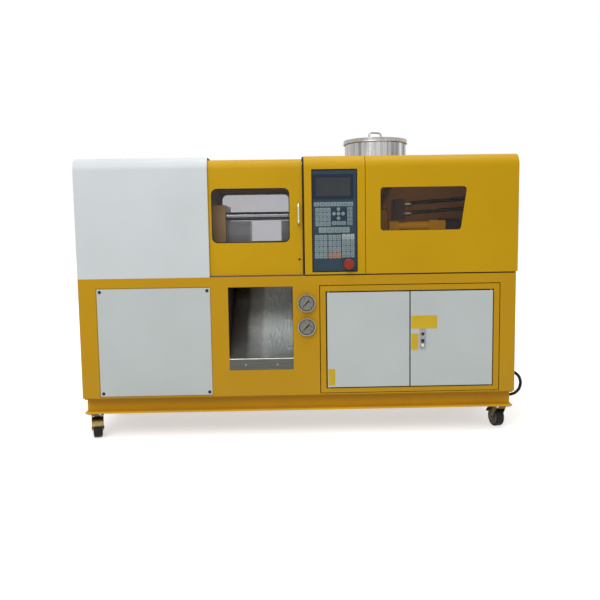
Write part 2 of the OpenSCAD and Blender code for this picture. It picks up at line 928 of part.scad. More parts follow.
// Pressure gauges with their filling plugs
module pressure_gauges() {
    rim = 4;
    color("dimgray")
        for (z = [gauge_z, gauge_z - gauge_pitch])
            translate([gauge_x, front_y, z]) {
                rotate([90, 0, 0])
                    difference() {
                        union() {
                            cylinder(d = gauge_d, h = gauge_h);
                            translate([0, 0, -gauge_case_l])
                                cylinder(r = gauge_case_r, h = gauge_case_l + cut);
                        }
                        translate([0, 0, gauge_h - rim])
                            cylinder(d = gauge_d - 2 * rim, h = rim + cut);
                    }
                translate([0, -gauge_h / 2, gauge_d / 2 - cut])
                    cylinder(d = gauge_h / 2, h = rim);
            }
}

// Opening of the electrical cabinet between its doors' hinge sides
module leaf_opening() {
    area(box_x + box_border, opening_bottom_z + box_sill,
        box_x + box_w - box_border, opening_top_z - box_border);
}

// Electrical cabinet with its frame and hinge pins
module electrical_box() {
    floor_z = cabinet_z + sheet_t;
    color("goldenrod") {
        along_y(front_y, frame_d)
            difference() {
                area(box_x, opening_bottom_z, box_x + box_w, opening_top_z);
                leaf_opening();
            }
        along_y(front_y + sheet_t + cut, box_d - sheet_t - cut)
            difference() {
                area(box_x, floor_z, box_x + box_w, opening_top_z);
                area(box_x + box_t, floor_z + box_t, box_x + box_w - box_t, opening_top_z - box_t);
            }
        along_y(front_y + box_d - box_t, box_t)
            area(box_x, floor_z, box_x + box_w, opening_top_z);
        for (x = [hinge_left_x, hinge_right_x]) {
            translate([x, hinge_y, opening_bottom_z + box_sill - cut])
                cylinder(r = pin_r, h = cut + leaf_gap + pin_reach);
            translate([x, hinge_y, leaf_top_z - pin_reach])
                cylinder(r = pin_r, h = cut + leaf_gap + pin_reach);
        }
    }
}

// Plate for the electrical gear on four studs
module mounting_plate() {
    plate_y = front_y + box_d - box_t - plate_stand;
    x0 = box_x + box_border + plate_edge;
    x1 = box_x + box_w - box_border - plate_edge;
    color("silver") {
        along_y(plate_y - box_t, box_t)
            area(x0, leaf_z, x1, leaf_top_z);
        for (x = [x0 + plate_edge, x1 - plate_edge])
            for (z = [leaf_z + plate_edge, leaf_top_z - plate_edge])
                along_y(plate_y - box_t, plate_stand + box_t)
                    translate([x, z])
                        circle(box_t * 3);
    }
}

// A folded door leaf with bosses for its hinge pins
module leaf(x, hinge_x) {
    boss = 2 * hinge_inset;
    color("lightgray")
        difference() {
            union() {
                difference() {
                    along_y(leaf_y, leaf_t)
                        area(x, leaf_z, x + leaf_w, leaf_top_z);
                    along_y(leaf_y + box_t, leaf_t)
                        area(x + box_t, leaf_z + box_t, x + leaf_w - box_t, leaf_top_z - box_t);
                }
                along_y(leaf_y, boss)
                    for (z = [leaf_z, leaf_top_z - boss])
                        area(hinge_x - hinge_inset, z, hinge_x + hinge_inset, z + boss);
            }
            translate([hinge_x, hinge_y, leaf_z - cut])
                cylinder(r = pin_r + pin_gap, h = pin_reach + run_gap + cut);
            translate([hinge_x, hinge_y, leaf_top_z - pin_reach - run_gap])
                cylinder(r = pin_r + pin_gap, h = pin_reach + run_gap + cut);
        }
}

module electrical_door_left() {
    leaf(left_leaf_x, hinge_left_x);
}

module electrical_door_right() {
    leaf(right_leaf_x, hinge_right_x);
}

// Latch plate with its lifting tongue
module door_latch() {
    edge = 4;
    color("gray")
        translate([latch_x, leaf_y - latch_t, latch_z])
            difference() {
                cube([latch_w, latch_t, latch_h]);
                translate([edge, -cut, edge])
                    cube([latch_w - 2 * edge, latch_t / 2 + cut, latch_h / 2 - edge]);
            }
}

// White cover over the clamp cylinder
module clamp_cover() {
    color("lightgray") {
        along_x(left_x, clamp_cover_l)
            hood_sheet(0, cover_t, bed_z);
        along_x(left_x, cover_t)
            hood_outline(0, bed_z);
    }
}

// Sliding safety door
module safety_door() {
    color("goldenrod")
        guard_sheet(door_x, door_l, door_z);
}

module door_window() {
    color("darkolivegreen")
        guard_pane();
}

// Pull handle of the door
module door_handle() {
    color("silver")
        translate([door_end_x - handle_margin, door_face_y, bed_z + handle_z])
            rotate([90, 90, 0])
                bow_handle(handle_l, handle_h, handle_d);
}

// Rail under the door and guide rail under its top
module door_rails() {
    foot_y = door_face_y + (door_return - rail_w) / 2;
    color("gray") {
        translate([left_x + cover_t, foot_y, bed_z])
            cube([control_x - left_x - cover_t, rail_w, rail_h]);
        translate([left_x + cover_t, mid_y - rail_w / 2, guide_top_z - guide_h])
            cube([control_x - left_x - cover_t, rail_w, guide_h]);
    }
}

// Fixed guard behind the mould
module rear_guard() {
    color("goldenrod")
        at_back()
            guard_sheet(door_x, control_x - door_x, bed_z);
}

// Outline of the slanted window
module side_window_outline(grow) {
    r = side_window_r;
    x1 = side_window_x + side_window_w;
    top = side_window_bottom_z + side_window_h;
    hull() {
        for (p = [[side_window_x + r, side_window_bottom_z + r], [side_window_x + r, top - r],
                [x1 - r, top - r], [x1 - side_window_slant - r, side_window_bottom_z + r]])
            translate(p)
                circle(r + grow);
    }
}

// Panes that do not move
module fixed_windows() {
    color("darkolivegreen") {
        at_back()
            guard_pane();
        along_y(front_y + cover_t, pane_t)
            side_window_outline(pane_lap);
    }
}

// Sheet of a cover on its rubber seal
module sealed_hood(x, l) {
    along_x(x, l) {
        hood_sheet(0, cover_t, cover_z);
        area(front_y, cover_z, front_y + cover_flange, cover_z + cover_t);
        area(back_y - cover_flange, cover_z, back_y, cover_z + cover_t);
    }
}

// Hole in the covers around the hopper
module hopper_hole() {
    translate([hopper_x, mid_y, cover_top_z - cover_r])
        cylinder(r = hopper_r + hopper_gap, h = 2 * cover_r);
}

// Cover that carries the control panel
module control_housing() {
    color("goldenrod")
        difference() {
            union() {
                sealed_hood(control_x, control_l);
                along_x(control_x, cover_t)
                    hood_sheet(0, cheek_w, cover_z);
                along_x(control_x - jamb_w, jamb_w + cover_t)
                    front_part(cover_z, return_end_y)
                        hood_sheet(door_inset + door_return + return_gap, cover_t, cover_z);
            }
            along_y(front_y - cut, cover_t + 2 * cut)
                area(console_x, console_bottom_z, console_x + console_w, console_top_z);
            hopper_hole();
        }
}

// Control panel with its case, display bezel and button collar
module control_panel() {
    color("darkslategray") {
        along_y(console_face_y, console_t)
            area(console_x - console_lap, console_bottom_z - console_lap,
                console_x + console_w + console_lap, console_top_z + console_lap);
        along_y(console_face_y, console_case)
            area(console_x, console_bottom_z, console_x + console_w, console_top_z);
        along_y(console_face_y - bezel_t, bezel_t + cut)
            difference() {
                area(bezel_x, bezel_z, bezel_x + bezel_w, bezel_z + bezel_h);
                area(bezel_x + (bezel_w - screen_w) / 2, bezel_z + (bezel_h - screen_h) / 2,
                    bezel_x + (bezel_w + screen_w) / 2, bezel_z + (bezel_h + screen_h) / 2);
            }
        translate([stop_x, console_face_y, stop_z])
            rotate([90, 0, 0])
                difference() {
                    cylinder(r = stop_stem_r + 5, h = collar_h);
                    cylinder(r = stop_stem_r + run_gap, h = collar_h + cut);
                }
    }
}

// Display glass
module display_screen() {
    glass_t = bezel_t / 2;
    color("black")
        along_y(console_face_y - glass_t, glass_t)
            area(bezel_x + (bezel_w - screen_w) / 2 + run_gap, bezel_z + (bezel_h - screen_h) / 2 + run_gap,
                bezel_x + (bezel_w + screen_w) / 2 - run_gap, bezel_z + (bezel_h + screen_h) / 2 - run_gap);
}

// Keys of the control panel
module keypad() {
    color("lightsteelblue")
        translate([console_x, console_face_y - key_t, console_bottom_z]) {
            for (f = key_fields)
                for (i = [0 : f[2] - 1])
                    for (j = [0 : f[3] - 1])
                        translate(key_scale * [f[0] + i * (f[4] + key_gap), 0, f[1] + j * (f[5] + key_gap)])
                            cube([key_scale * f[4], key_t, key_scale * f[5]]);
            for (step = [[0, 0], [1, 0], [-1, 0], [0, 1], [0, -1]])
                along_y(0, key_t)
                    translate(key_scale * (arrow_at + arrow_pitch * step))
                        circle(key_scale * arrow_r);
        }
}

// Emergency stop button
module emergency_stop() {
    head_z = collar_h + stop_stroke + 1;
    edge = 4;
    color("firebrick")
        translate([stop_x, console_face_y, stop_z])
            rotate([90, 0, 0]) {
                translate([0, 0, stop_stroke + 1])
                    cylinder(r = stop_stem_r, h = stop_h - stop_stroke - 1 - edge);
                translate([0, 0, head_z])
                    cylinder(d = stop_d, h = stop_h - head_z - edge);
                translate([0, 0, stop_h - edge])
                    rotate_extrude() {
                        area(0, -edge, stop_d / 2 - edge, edge);
                        intersection() {
                            translate([stop_d / 2 - edge, 0])
                                circle(edge);
                            area(0, -edge, stop_d / 2, edge);
                        }
                    }
            }
}

// Cover over the injection unit
module injection_cover() {
    color("goldenrod")
        difference() {
            union() {
                sealed_hood(injection_x, injection_l);
                along_x(injection_end_x - cover_t, cover_t)
                    hood_outline(0, cover_z);
            }
            along_y(front_y - cut, cover_t + 2 * cut)
                side_window_outline(0);
            hopper_hole();
        }
}

// Rubber seals between the bed and those covers
module cover_seals() {
    seal_l = right_x - control_x;
    color("black")
        for (y = [front_y + seal_setback, back_y - seal_setback - seal_w])
            translate([control_x, y, bed_z])
                cube([seal_l, seal_w, seal_h]);
}

// Rolled wall of the hopper
module hopper() {
    color("silver")
        translate([hopper_x, mid_y, 0])
            rotate_extrude()
                area(hopper_r - hopper_t, hopper_cone_z, hopper_r, hopper_top_z);
}

// Cone under the hopper wall, with its flange on the feed block
module hopper_cone() {
    neck_z = feed_top_z + hopper_flange_t;
    color("silver")
        translate([hopper_x, mid_y, 0])
            rotate_extrude()
                polygon([[throat_r, feed_top_z], [hopper_flange_r, feed_top_z], [hopper_flange_r, neck_z],
                    [throat_r + hopper_t, neck_z], [hopper_r, hopper_cone_z],
                    [hopper_r - hopper_t, hopper_cone_z], [throat_r, neck_z]]);
}

// Lid with a rolled edge and a handle
module hopper_lid() {
    color("silver")
        translate([hopper_x, mid_y, lid_z]) {
            rotate_extrude() {
                area(0, 0, lid_r, hopper_t);
                area(lid_r - hopper_t, hopper_t - lid_h, lid_r, hopper_t);
                translate([lid_r, hopper_t - lid_h])
                    circle(lid_bead_r);
            }
            translate([0, 0, hopper_t])
                rotate([0, 0, lid_handle_turn])
                    bow_handle(lid_handle_l, lid_handle_h, lid_handle_d);
        }
}

// Places of the four tie bars in Y and Z
module at_tie_bars() {
    for (y = [-1, 1])
        for (z = [-1, 1])
            translate([mid_y + y * tie_span_y / 2, axis_z + z * tie_span_z / 2])
                children();
}

// A platen with its tie bar holes
module platen(x, z, bore_r) {
    along_x(x, platen_t)
        difference() {
            area(mid_y - platen_w / 2, z, mid_y + platen_w / 2, platen_top_z);
            at_tie_bars()
                circle(tie_d / 2 + run_gap);
            if (bore_r > 0)
                translate([mid_y, axis_z])
                    circle(bore_r);
        }
}

module rear_platen() {
    color("goldenrod")
        platen(rear_x, bed_z, 0);
}

module fixed_platen() {
    color("goldenrod")
        platen(fixed_x, bed_z, nozzle_bore_r);
}

module moving_platen() {
    color("goldenrod")
        platen(moving_x, bed_z + platen_lift, 0);
}

// Tie bars with a nut at each end
module tie_bars() {
    color("silver") {
        along_x(tie_x, tie_l)
            at_tie_bars()
                circle(d = tie_d);
        for (x = [tie_x, tie_x + tie_l - nut_l])
            along_x(x, nut_l)
                at_tie_bars()
                    circle(d = nut_d);
    }
}

// Clamp cylinder, open for the ram
module clamp_cylinder() {
    bore_x = ram_x - nut_l;
    color("dimgray")
        difference() {
            bar_x(clamp_cyl_x, mid_y, axis_z, clamp_cyl_r, clamp_cyl_l);
            bar_x(bore_x, mid_y, axis_z, ram_r + run_gap, clamp_cyl_end_x - bore_x + cut);
        }
}

// Ram that pushes the moving platen
module clamp_ram() {
    color("silver")
        bar_x(ram_x, mid_y, axis_z, ram_r, ram_l);
}

// A mould base with its bolt holes in the face towards the other
module mould_base(x, l, hole_x) {
    color("slategray")
        difference() {
            along_x(x, l)
                area(mid_y - mould_w / 2, axis_z - mould_h / 2, mid_y + mould_w / 2, axis_z + mould_h / 2);
            for (y = [-1, 1])
                for (z = [-1, 1])
                    bar_x(hole_x, mid_y + y * bolt_span_y / 2, axis_z + z * bolt_span_z / 2,
                        bolt_r, bolt_depth + cut);
        }
}

module fixed_mould_base() {
    mould_base(fixed_mould_x, fixed_mould_t, fixed_mould_x - cut);
}

module moving_mould_base() {
    mould_base(moving_mould_x, moving_mould_t, moving_mould_end_x - bolt_depth);
}

// Barrel with heater bands and nozzle
module barrel() {
    nozzle_x = fixed_x + nozzle_gap;
    band_pitch = (barrel_l - band_l) / 2;
    color("gray") {
        bar_x(barrel_x, mid_y, axis_z, barrel_r, barrel_l);
        bar_x(nozzle_x, mid_y, axis_z, nozzle_r, barrel_x - nozzle_x + cut);
        for (i = [0 : 2])
            bar_x(barrel_x + i * band_pitch, mid_y, axis_z, band_r, band_l - (i == 2 ? band_l / 3 : 0));
    }
}

// Block that carries the hopper and feeds the barrel
module feed_block() {
    color("goldenrod")
        difference() {
            translate([feed_x, mid_y - feed_w / 2, carriage_top_z])
                cube([feed_l, feed_w, feed_top_z - carriage_top_z]);
            translate([hopper_x, mid_y, feed_top_z - feed_depth])
                cylinder(r = throat_r, h = feed_depth + cut);
        }
}

// Carriage with its rails and two cross plates
module injection_carriage() {
    half = carriage_w / 2;
    rail_side = half / 4;
    color("goldenrod") {
        for (y = [mid_y - half, mid_y + half - rail_side])
            translate([feed_x - feed_l, y, bed_z])
                cube([motor_x - feed_x + feed_l, rail_side, carriage_rail_h]);
        translate([feed_x, mid_y - half, carriage_z])
            cube([motor_x - feed_x, carriage_w, carriage_t]);
        for (x = [cross_x, thrust_x])
            translate([x, mid_y - half, carriage_z])
                cube([cross_t, carriage_w, bed_z + cross_h - carriage_z]);
    }
}

// Injection cylinders between the cross plates
module injection_cylinders() {
    cap = 2 * (inj_cyl_r + inj_cap_edge);
    color("goldenrod")
        for (side = [-1, 1]) {
            y = mid_y + side * inj_cyl_span / 2;
            bar_x(cyl_x, y, bed_z + inj_cyl_z, inj_cyl_r, inj_cyl_l + cut);
            translate([cap_x, y - cap / 2, bed_z + inj_cyl_z - cap / 2])
                cube([inj_cap_l, cap, cap]);
        }
}

// Hydraulic motor that turns the screw
module screw_motor() {
    color("dimgray") {
        bar_x(motor_x, mid_y, axis_z, motor_r, motor_l);
        bar_x(motor_x + motor_l - cut, mid_y, axis_z, motor_r * 2 / 3, motor_l / 4);
    }
}

// Manifold block on the front cross plate
module hose_manifold() {
    color("dimgray")
        translate([manifold_x, manifold_y - manifold_w / 2, manifold_z])
            cube([manifold_l, manifold_w, manifold_h]);
}

// A hose from its fitting on the manifold, bent down to the bed
module hose(z, run) {
    end_x = manifold_end_x + run * cos(hose_tilt) + hose_bend * (1 + sin(hose_tilt));
    end_z = z + run * sin(hose_tilt) - hose_bend * cos(hose_tilt);
    straight_r = hose_r - hose_step;
    bar_x(manifold_end_x, manifold_y, z, hose_r + fitting_wall, fitting_l);
    translate([manifold_end_x, manifold_y, z])
        rotate([0, -hose_tilt, 0]) {
            bar_x(fitting_l / 2, 0, 0, straight_r, run + cut - fitting_l / 2);
            translate([run, 0, -hose_bend])
                rotate([90, 0, 0])
                    rotate([0, 0, -hose_tilt])
                        rotate_extrude(angle = 90 + hose_tilt)
                            translate([hose_bend, 0])
                                circle(hose_r);
        }
    translate([end_x, manifold_y, bed_z])
        cylinder(r = straight_r, h = end_z + cut - bed_z);
}

module hydraulic_hoses() {
    color("black") {
        hose(hose_upper_z, hose_upper_run);
        hose(hose_lower_z, hose_lower_run);
    }
}

// A gland on an end face, around one end of the cable
module cable_gland(x, end) {
    difference() {
        bar_x(x, cable_line_y, cable_z + end[1], gland_r, gland_l);
        bar_x(right_x + end[0], cable_line_y, cable_z + end[1], cable_r + run_gap, gland_l);
    }
}

// Glands where the supply cable leaves the cabinet and enters the base
module cable_glands() {
    color("black") {
        cable_gland(right_x, cable_points[0]);
        cable_gland(base_l / 2, cable_points[len(cable_points) - 1]);
    }
}

// Direction of the cable at one of its points
function cable_way(i) =
    let (
        a = cable_points[max(i - 1, 0)],
        b = cable_points[min(i + 1, len(cable_points) - 1)],
        d = b - a
    ) d / norm(d);

// A ring of the cable around one of its points
function cable_ring(i) = [
    for (k = [0 : cable_sides - 1])
        let (w = cable_way(i), t = 360 * k / cable_sides)
            [
                right_x + cable_points[i][0] - w[1] * cable_r * cos(t),
                cable_line_y + cable_r * sin(t),
                cable_z + cable_points[i][1] + w[0] * cable_r * cos(t)
            ]
];

// Supply cable between its two glands
module supply_cable() {
    rings = len(cable_points);
    n = cable_sides;
    points = [for (i = [0 : rings - 1]) each cable_ring(i)];
    walls = [
        for (i = [0 : rings - 2])
            for (k = [0 : n - 1])
                [i * n + k, i * n + (k + 1) % n, (i + 1) * n + (k + 1) % n, (i + 1) * n + k]
    ];
    first = [for (k = [0 : n - 1]) n - 1 - k];
    last = [for (k = [0 : n - 1]) (rings - 1) * n + k];
    color("black")
        polyhedron(points, concat(walls, [first], [last]));
}

base_side_channels();
base_end_channels();
caster_plates();
cabinet_floor();
cabinet_front();
cabinet_sides();
cabinet_back();
machine_bed();
access_panels();
chute_floor();
chute_sides();
pressure_gauges();
electrical_box();
mounting_plate();
electrical_door_left();
electrical_door_right();
door_latch();
clamp_cover();
safety_door();
door_window();
door_handle();
door_rails();
rear_guard();
fixed_windows();
control_housing();
control_panel();
display_screen();
keypad();
emergency_stop();
injection_cover();
cover_seals();
hopper();
hopper_cone();
hopper_lid();
rear_platen();
clamp_cylinder();
tie_bars();
fixed_platen();
fixed_mould_base();
moving_platen();
moving_mould_base();
clamp_ram();
barrel();
feed_block();
injection_carriage();
injection_cylinders();
screw_motor();
hose_manifold();
hydraulic_hoses();
cable_glands();
supply_cable();
at_caster(-caster_x, front_caster_y, front_left_turn) caster_fork(true);  // caster_fork_front_left
at_caster(caster_x, front_caster_y, front_right_turn) caster_fork(true);  // caster_fork_front_right
at_caster(-caster_x, back_caster_y, rear_turn) caster_fork(false);  // caster_fork_rear_left
at_caster(caster_x, back_caster_y, rear_turn) caster_fork(false);  // caster_fork_rear_right
at_caster(-caster_x, front_caster_y, front_left_turn) caster_wheel();  // caster_wheel_front_left
at_caster(caster_x, front_caster_y, front_right_turn) caster_wheel();  // caster_wheel_front_right
at_caster(-caster_x, back_caster_y, rear_turn) caster_wheel();  // caster_wheel_rear_left
at_caster(caster_x, back_caster_y, rear_turn) caster_wheel();  // caster_wheel_rear_right
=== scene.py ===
# Looks of a small enclosed injection moulding machine on casters.
# Sizes are in metres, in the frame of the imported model: +X towards the hopper end, +Y to the back, +Z up.
import bpy
import bmesh
import numpy as np
from mathutils import Matrix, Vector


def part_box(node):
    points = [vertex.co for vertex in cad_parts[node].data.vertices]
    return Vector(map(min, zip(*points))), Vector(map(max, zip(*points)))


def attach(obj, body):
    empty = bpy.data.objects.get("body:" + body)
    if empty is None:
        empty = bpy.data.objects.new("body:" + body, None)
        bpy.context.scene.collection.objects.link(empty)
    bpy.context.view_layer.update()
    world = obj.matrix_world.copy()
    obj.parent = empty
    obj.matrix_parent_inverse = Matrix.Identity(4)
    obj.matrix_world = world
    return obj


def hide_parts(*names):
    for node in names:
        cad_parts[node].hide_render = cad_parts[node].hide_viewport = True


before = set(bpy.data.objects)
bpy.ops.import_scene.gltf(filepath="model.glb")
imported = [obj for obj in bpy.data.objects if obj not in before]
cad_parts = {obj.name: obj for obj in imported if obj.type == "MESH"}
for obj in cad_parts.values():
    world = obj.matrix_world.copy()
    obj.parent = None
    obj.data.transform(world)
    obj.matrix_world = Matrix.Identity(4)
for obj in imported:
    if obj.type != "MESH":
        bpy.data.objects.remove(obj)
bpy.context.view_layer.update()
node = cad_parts
scene = bpy.context.scene

# Camera
# It stands a little left of the machine's middle, at chest height, tipped a few degrees down.
# The lens is worked out for a square picture of 600 by 600.
picture_pixels, focal_pixels = 600.0, 682.4
camera_place = (-0.0371, -2.8031, 0.7891)
yaw, pitch, roll = np.radians([0.970, 5.742, -0.847])


def held_at(place, right, up, back):
    """World matrix of a camera or lamp: its columns are its axes and its place, and it looks against back."""
    turn = np.eye(4)
    turn[:3, :3] = np.stack([right, up, back], 1)
    turn[:3, 3] = place
    return Matrix(turn.tolist())


ahead = np.array([np.sin(yaw) * np.cos(pitch), np.cos(yaw) * np.cos(pitch), -np.sin(pitch)])
level = np.array([np.cos(yaw), -np.sin(yaw), 0.0])
rise = np.cross(level, ahead)
picture_right = np.cos(roll) * level + np.sin(roll) * rise
picture_up = np.cos(roll) * rise - np.sin(roll) * level
lens = bpy.data.cameras.new("camera")
lens.sensor_width = 36.0
lens.lens = lens.sensor_width * focal_pixels / picture_pixels
camera = bpy.data.objects.new("camera", lens)
camera.matrix_world = held_at(camera_place, picture_right, picture_up, -ahead)
scene.collection.objects.link(camera)
scene.camera = camera
scene.view_settings.view_transform = "Standard"

# Supply cable
# A short black rubber cable that leaves the cabinet end through a gland and loops down into the base.
# It is stiff enough to hold a round bow, and both ends are clamped in their glands.
cable_width = 0.012
cable_route = np.array([
    [2, 0], [10, 0], [18, 0], [30, -2], [42, -6], [52, -14], [60, -24], [64, -36], [66, -48],
    [64, -60], [60, -72], [52, -82], [42, -90], [30, -94], [18, -96], [10, -96], [2, -96]]) / 1000.0


def corners(name):
    """Lowest and highest corner of a CAD node's box."""
    return [np.array(corner, float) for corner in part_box(name)]


def new_finish(name):
    """A material with an empty node tree."""
    finish = bpy.data.materials.new(name)
    finish.use_nodes = True
    finish.node_tree.nodes.clear()
    return finish


def put(finish, kind, settings=None, **inputs):
    """Adds a node. An input is a number, a colour or another node's output, and it is named with _ for a
    space, or by its place as i0, i1 and so on."""
    made = finish.node_tree.nodes.new(kind)
    for key, value in (settings or {}).items():
        setattr(made, key, value)
    for key, value in inputs.items():
        socket = made.inputs[int(key[1:])] if key[1:].isdigit() else made.inputs[key.replace("_", " ")]
        if isinstance(value, bpy.types.NodeSocket):
            finish.node_tree.links.new(value, socket)
        else:
            socket.default_value = value
    return made


def object_place(finish):
    """Object coordinates of the shaded point."""
    return put(finish, "ShaderNodeTexCoord").outputs["Object"]


def speckle(finish, scale, detail=3.0, stretch=(1.0, 1.0, 1.0), roughness=0.55):
    """Noise on Object coordinates; stretch squeezes it along the axes so that it runs in streaks."""
    place = object_place(finish)
    if tuple(stretch) != (1.0, 1.0, 1.0):
        place = put(finish, "ShaderNodeMapping", Vector=place, Scale=stretch).outputs[0]
    return put(finish, "ShaderNodeTexNoise", Vector=place, Scale=scale, Detail=detail,
               Roughness=roughness).outputs["Fac"]


def blend_colours(finish, amount, stops):
    """Colour ramp over a value: stops are (place, (r, g, b))."""
    ramp = put(finish, "ShaderNodeValToRGB", Fac=amount)
    points = ramp.color_ramp.elements
    points[0].position, points[0].color = stops[0][0], (*stops[0][1], 1.0)
    points[1].position, points[1].color = stops[-1][0], (*stops[-1][1], 1.0)
    for where, colour in stops[1:-1]:
        points.new(where).color = (*colour, 1.0)
    return ramp.outputs["Color"]


def spread(finish, amount, low, high, start=0.3, end=0.7):
    """Maps a value between start and end, by default the middle of a noise, onto the range low to high."""
    return put(finish, "ShaderNodeMapRange", Value=amount, From_Min=start, From_Max=end,
               To_Min=low, To_Max=high).outputs["Result"]


def bumped(finish, height, strength, distance):
    """Normal of a surface whose height value rises by up to a distance."""
    return put(finish, "ShaderNodeBump", Strength=strength, Distance=distance, Height=height).outputs[0]


def finish_with(finish, **inputs):
    """Closes a finish with one Principled surface."""
    surface = put(finish, "ShaderNodeBsdfPrincipled", **inputs)
    put(finish, "ShaderNodeOutputMaterial", Surface=surface.outputs[0])
    return finish


def tone(colour, factor):
    """The colour made lighter or darker."""
    return tuple(float(np.clip(c * factor, 0.0, 1.0)) for c in colour)


def rubber(name, colour):
    """Moulded rubber: dull, faintly mottled, with fine grain and a grey bloom of dust."""
    finish = new_finish(name)
    grain = speckle(finish, 1400.0)
    bloom = speckle(finish, 38.0, 5.0)
    mottled = blend_colours(finish, bloom, [(0.35, tone(colour, 0.8)), (0.72, tone(colour, 1.9))])
    return finish_with(finish, Base_Color=mottled, Roughness=spread(finish, bloom, 0.45, 0.68),
                       Normal=bumped(finish, grain, 0.12, 0.0004), Specular_IOR_Level=0.16)


black_rubber = rubber("black_rubber", (0.011, 0.010, 0.011))
cable_line = bpy.data.curves.new("supply_cable_line", "CURVE")
cable_line.dimensions = "3D"
cable_line.bevel_depth = cable_width / 2.0
cable_line.bevel_resolution = 5
cable_line.use_fill_caps = True
bow = cable_line.splines.new("POLY")
bow.points.add(len(cable_route) - 1)
cable_low, cable_high = corners("supply_cable")
route = np.ones((len(cable_route), 4))
route[:, :3] = [cable_low[0], (cable_low[1] + cable_high[1]) / 2.0, cable_high[2] - cable_width / 2.0]
route[:, [0, 2]] += cable_route - cable_route[0]
bow.points.foreach_set("co", route.ravel())
cable = bpy.data.objects.new("supply_cable_bow", cable_line)
scene.collection.objects.link(cable)
cable_line.materials.append(black_rubber)
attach(cable, "machine")
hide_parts("supply_cable")

# Studio
# A pale floor, a white surround and two large soft lamps: one high in front and one over the machine.
# The floor glows a little in what is seen or mirrored, so that it reads as white and still keeps the shadow;
# the glow is painted light that grows with distance from the machine, where the lamps give less.
floor_half = 20.0
square = np.array([(-1, -1), (1, -1), (1, 1), (-1, 1)], float)
vector_math = "ShaderNodeVectorMath"


def reckon(finish, operation, *values, kind="ShaderNodeMath", result="Value"):
    """One step of arithmetic on numbers or other nodes' outputs; the vector kind of node works on places."""
    inputs = {"i" + str(place): value for place, value in enumerate(values)}
    return put(finish, kind, {"operation": operation}, **inputs).outputs[result]


def seen_or_mirrored(finish):
    """1 for what is seen straight, through glass or in a shiny face, and 0 for the light on the machine."""
    rays = put(finish, "ShaderNodeLightPath").outputs
    seen = reckon(finish, "MAXIMUM", rays["Is Camera Ray"], rays["Is Transmission Ray"])
    return reckon(finish, "MAXIMUM", seen, rays["Is Glossy Ray"])


def softbox(name, at, towards, size, power):
    """A square area lamp aimed from one point at another."""
    lamp = bpy.data.lights.new(name, "AREA")
    lamp.size = size
    lamp.energy = power
    back = np.array(at, float) - np.array(towards, float)
    back /= np.linalg.norm(back)
    side = np.cross([0.0, 1.0, 0.02], back)
    side /= np.linalg.norm(side)
    held = bpy.data.objects.new(name, lamp)
    held.matrix_world = held_at(at, side, np.cross(back, side), back)
    scene.collection.objects.link(held)


floor_mesh = bpy.data.meshes.new("floor")
floor_mesh.from_pydata([(x, y, 0.0) for x, y in square * floor_half], [], [(0, 1, 2, 3)])
floor = bpy.data.objects.new("floor", floor_mesh)
scene.collection.objects.link(floor)
pale = new_finish("pale_floor")
away = reckon(pale, "LENGTH", object_place(pale), kind=vector_math)
# Painted light: the glow is weaker near the machine and stronger far from it.
glow = reckon(pale, "MULTIPLY", seen_or_mirrored(pale), spread(pale, away, 0.56, 0.86, 1.2, 3.6))
matt = put(pale, "ShaderNodeBsdfDiffuse", Color=(0.80, 0.80, 0.80, 1.0)).outputs[0]
shine = put(pale, "ShaderNodeEmission", Strength=glow).outputs[0]
both = put(pale, "ShaderNodeAddShader", i0=matt, i1=shine).outputs[0]
put(pale, "ShaderNodeOutputMaterial", Surface=both)
floor_mesh.materials.append(pale)
sky = bpy.data.worlds.new("studio")
sky.use_nodes = True
sky.node_tree.nodes.clear()
brightness = spread(sky, seen_or_mirrored(sky), 0.42, 1.0, 0.0, 1.0)
surround = put(sky, "ShaderNodeBackground", Color=(1.0, 1.0, 1.0, 1.0), Strength=brightness)
put(sky, "ShaderNodeOutputWorld", Surface=surround.outputs[0])
scene.world = sky
softbox("lamp_front", at=(-1.2, -3.6, 3.4), towards=(0.0, 0.0, 0.7), size=2.6, power=95.0)
softbox("lamp_above", at=(0.3, -0.4, 3.6), towards=(0.0, 0.0, 0.9), size=2.4, power=55.0)

# Base channels
# Two long rolled steel channels with their flanges outwards and two short ones between them, welded and
# sprayed yellow like the cabinet; the paint is dusty. Its yellow is made lighter than the cabinet's, as
# painted light on the shaded base, and painted shade darkens it towards the top of the web, under the
# cabinet's overhang.
machine_yellow, lightened_base_yellow = (0.516, 0.296, 0.0032), (0.700, 0.370, 0.003)
dust_colour, painted_shade_colour = (0.24, 0.19, 0.12, 1.0), (0.20, 0.085, 0.004, 1.0)


def along(finish, axis):
    """One Object coordinate of the shaded point: X, Y or Z."""
    return put(finish, "ShaderNodeSeparateXYZ", Vector=object_place(finish)).outputs[axis]


def mixed(finish, amount, first, second):
    """Goes from the first colour to the second as the amount goes from 0 to 1."""
    return put(finish, "ShaderNodeMix", {"data_type": "RGBA"}, i0=amount, i6=first, i7=second).outputs[2]


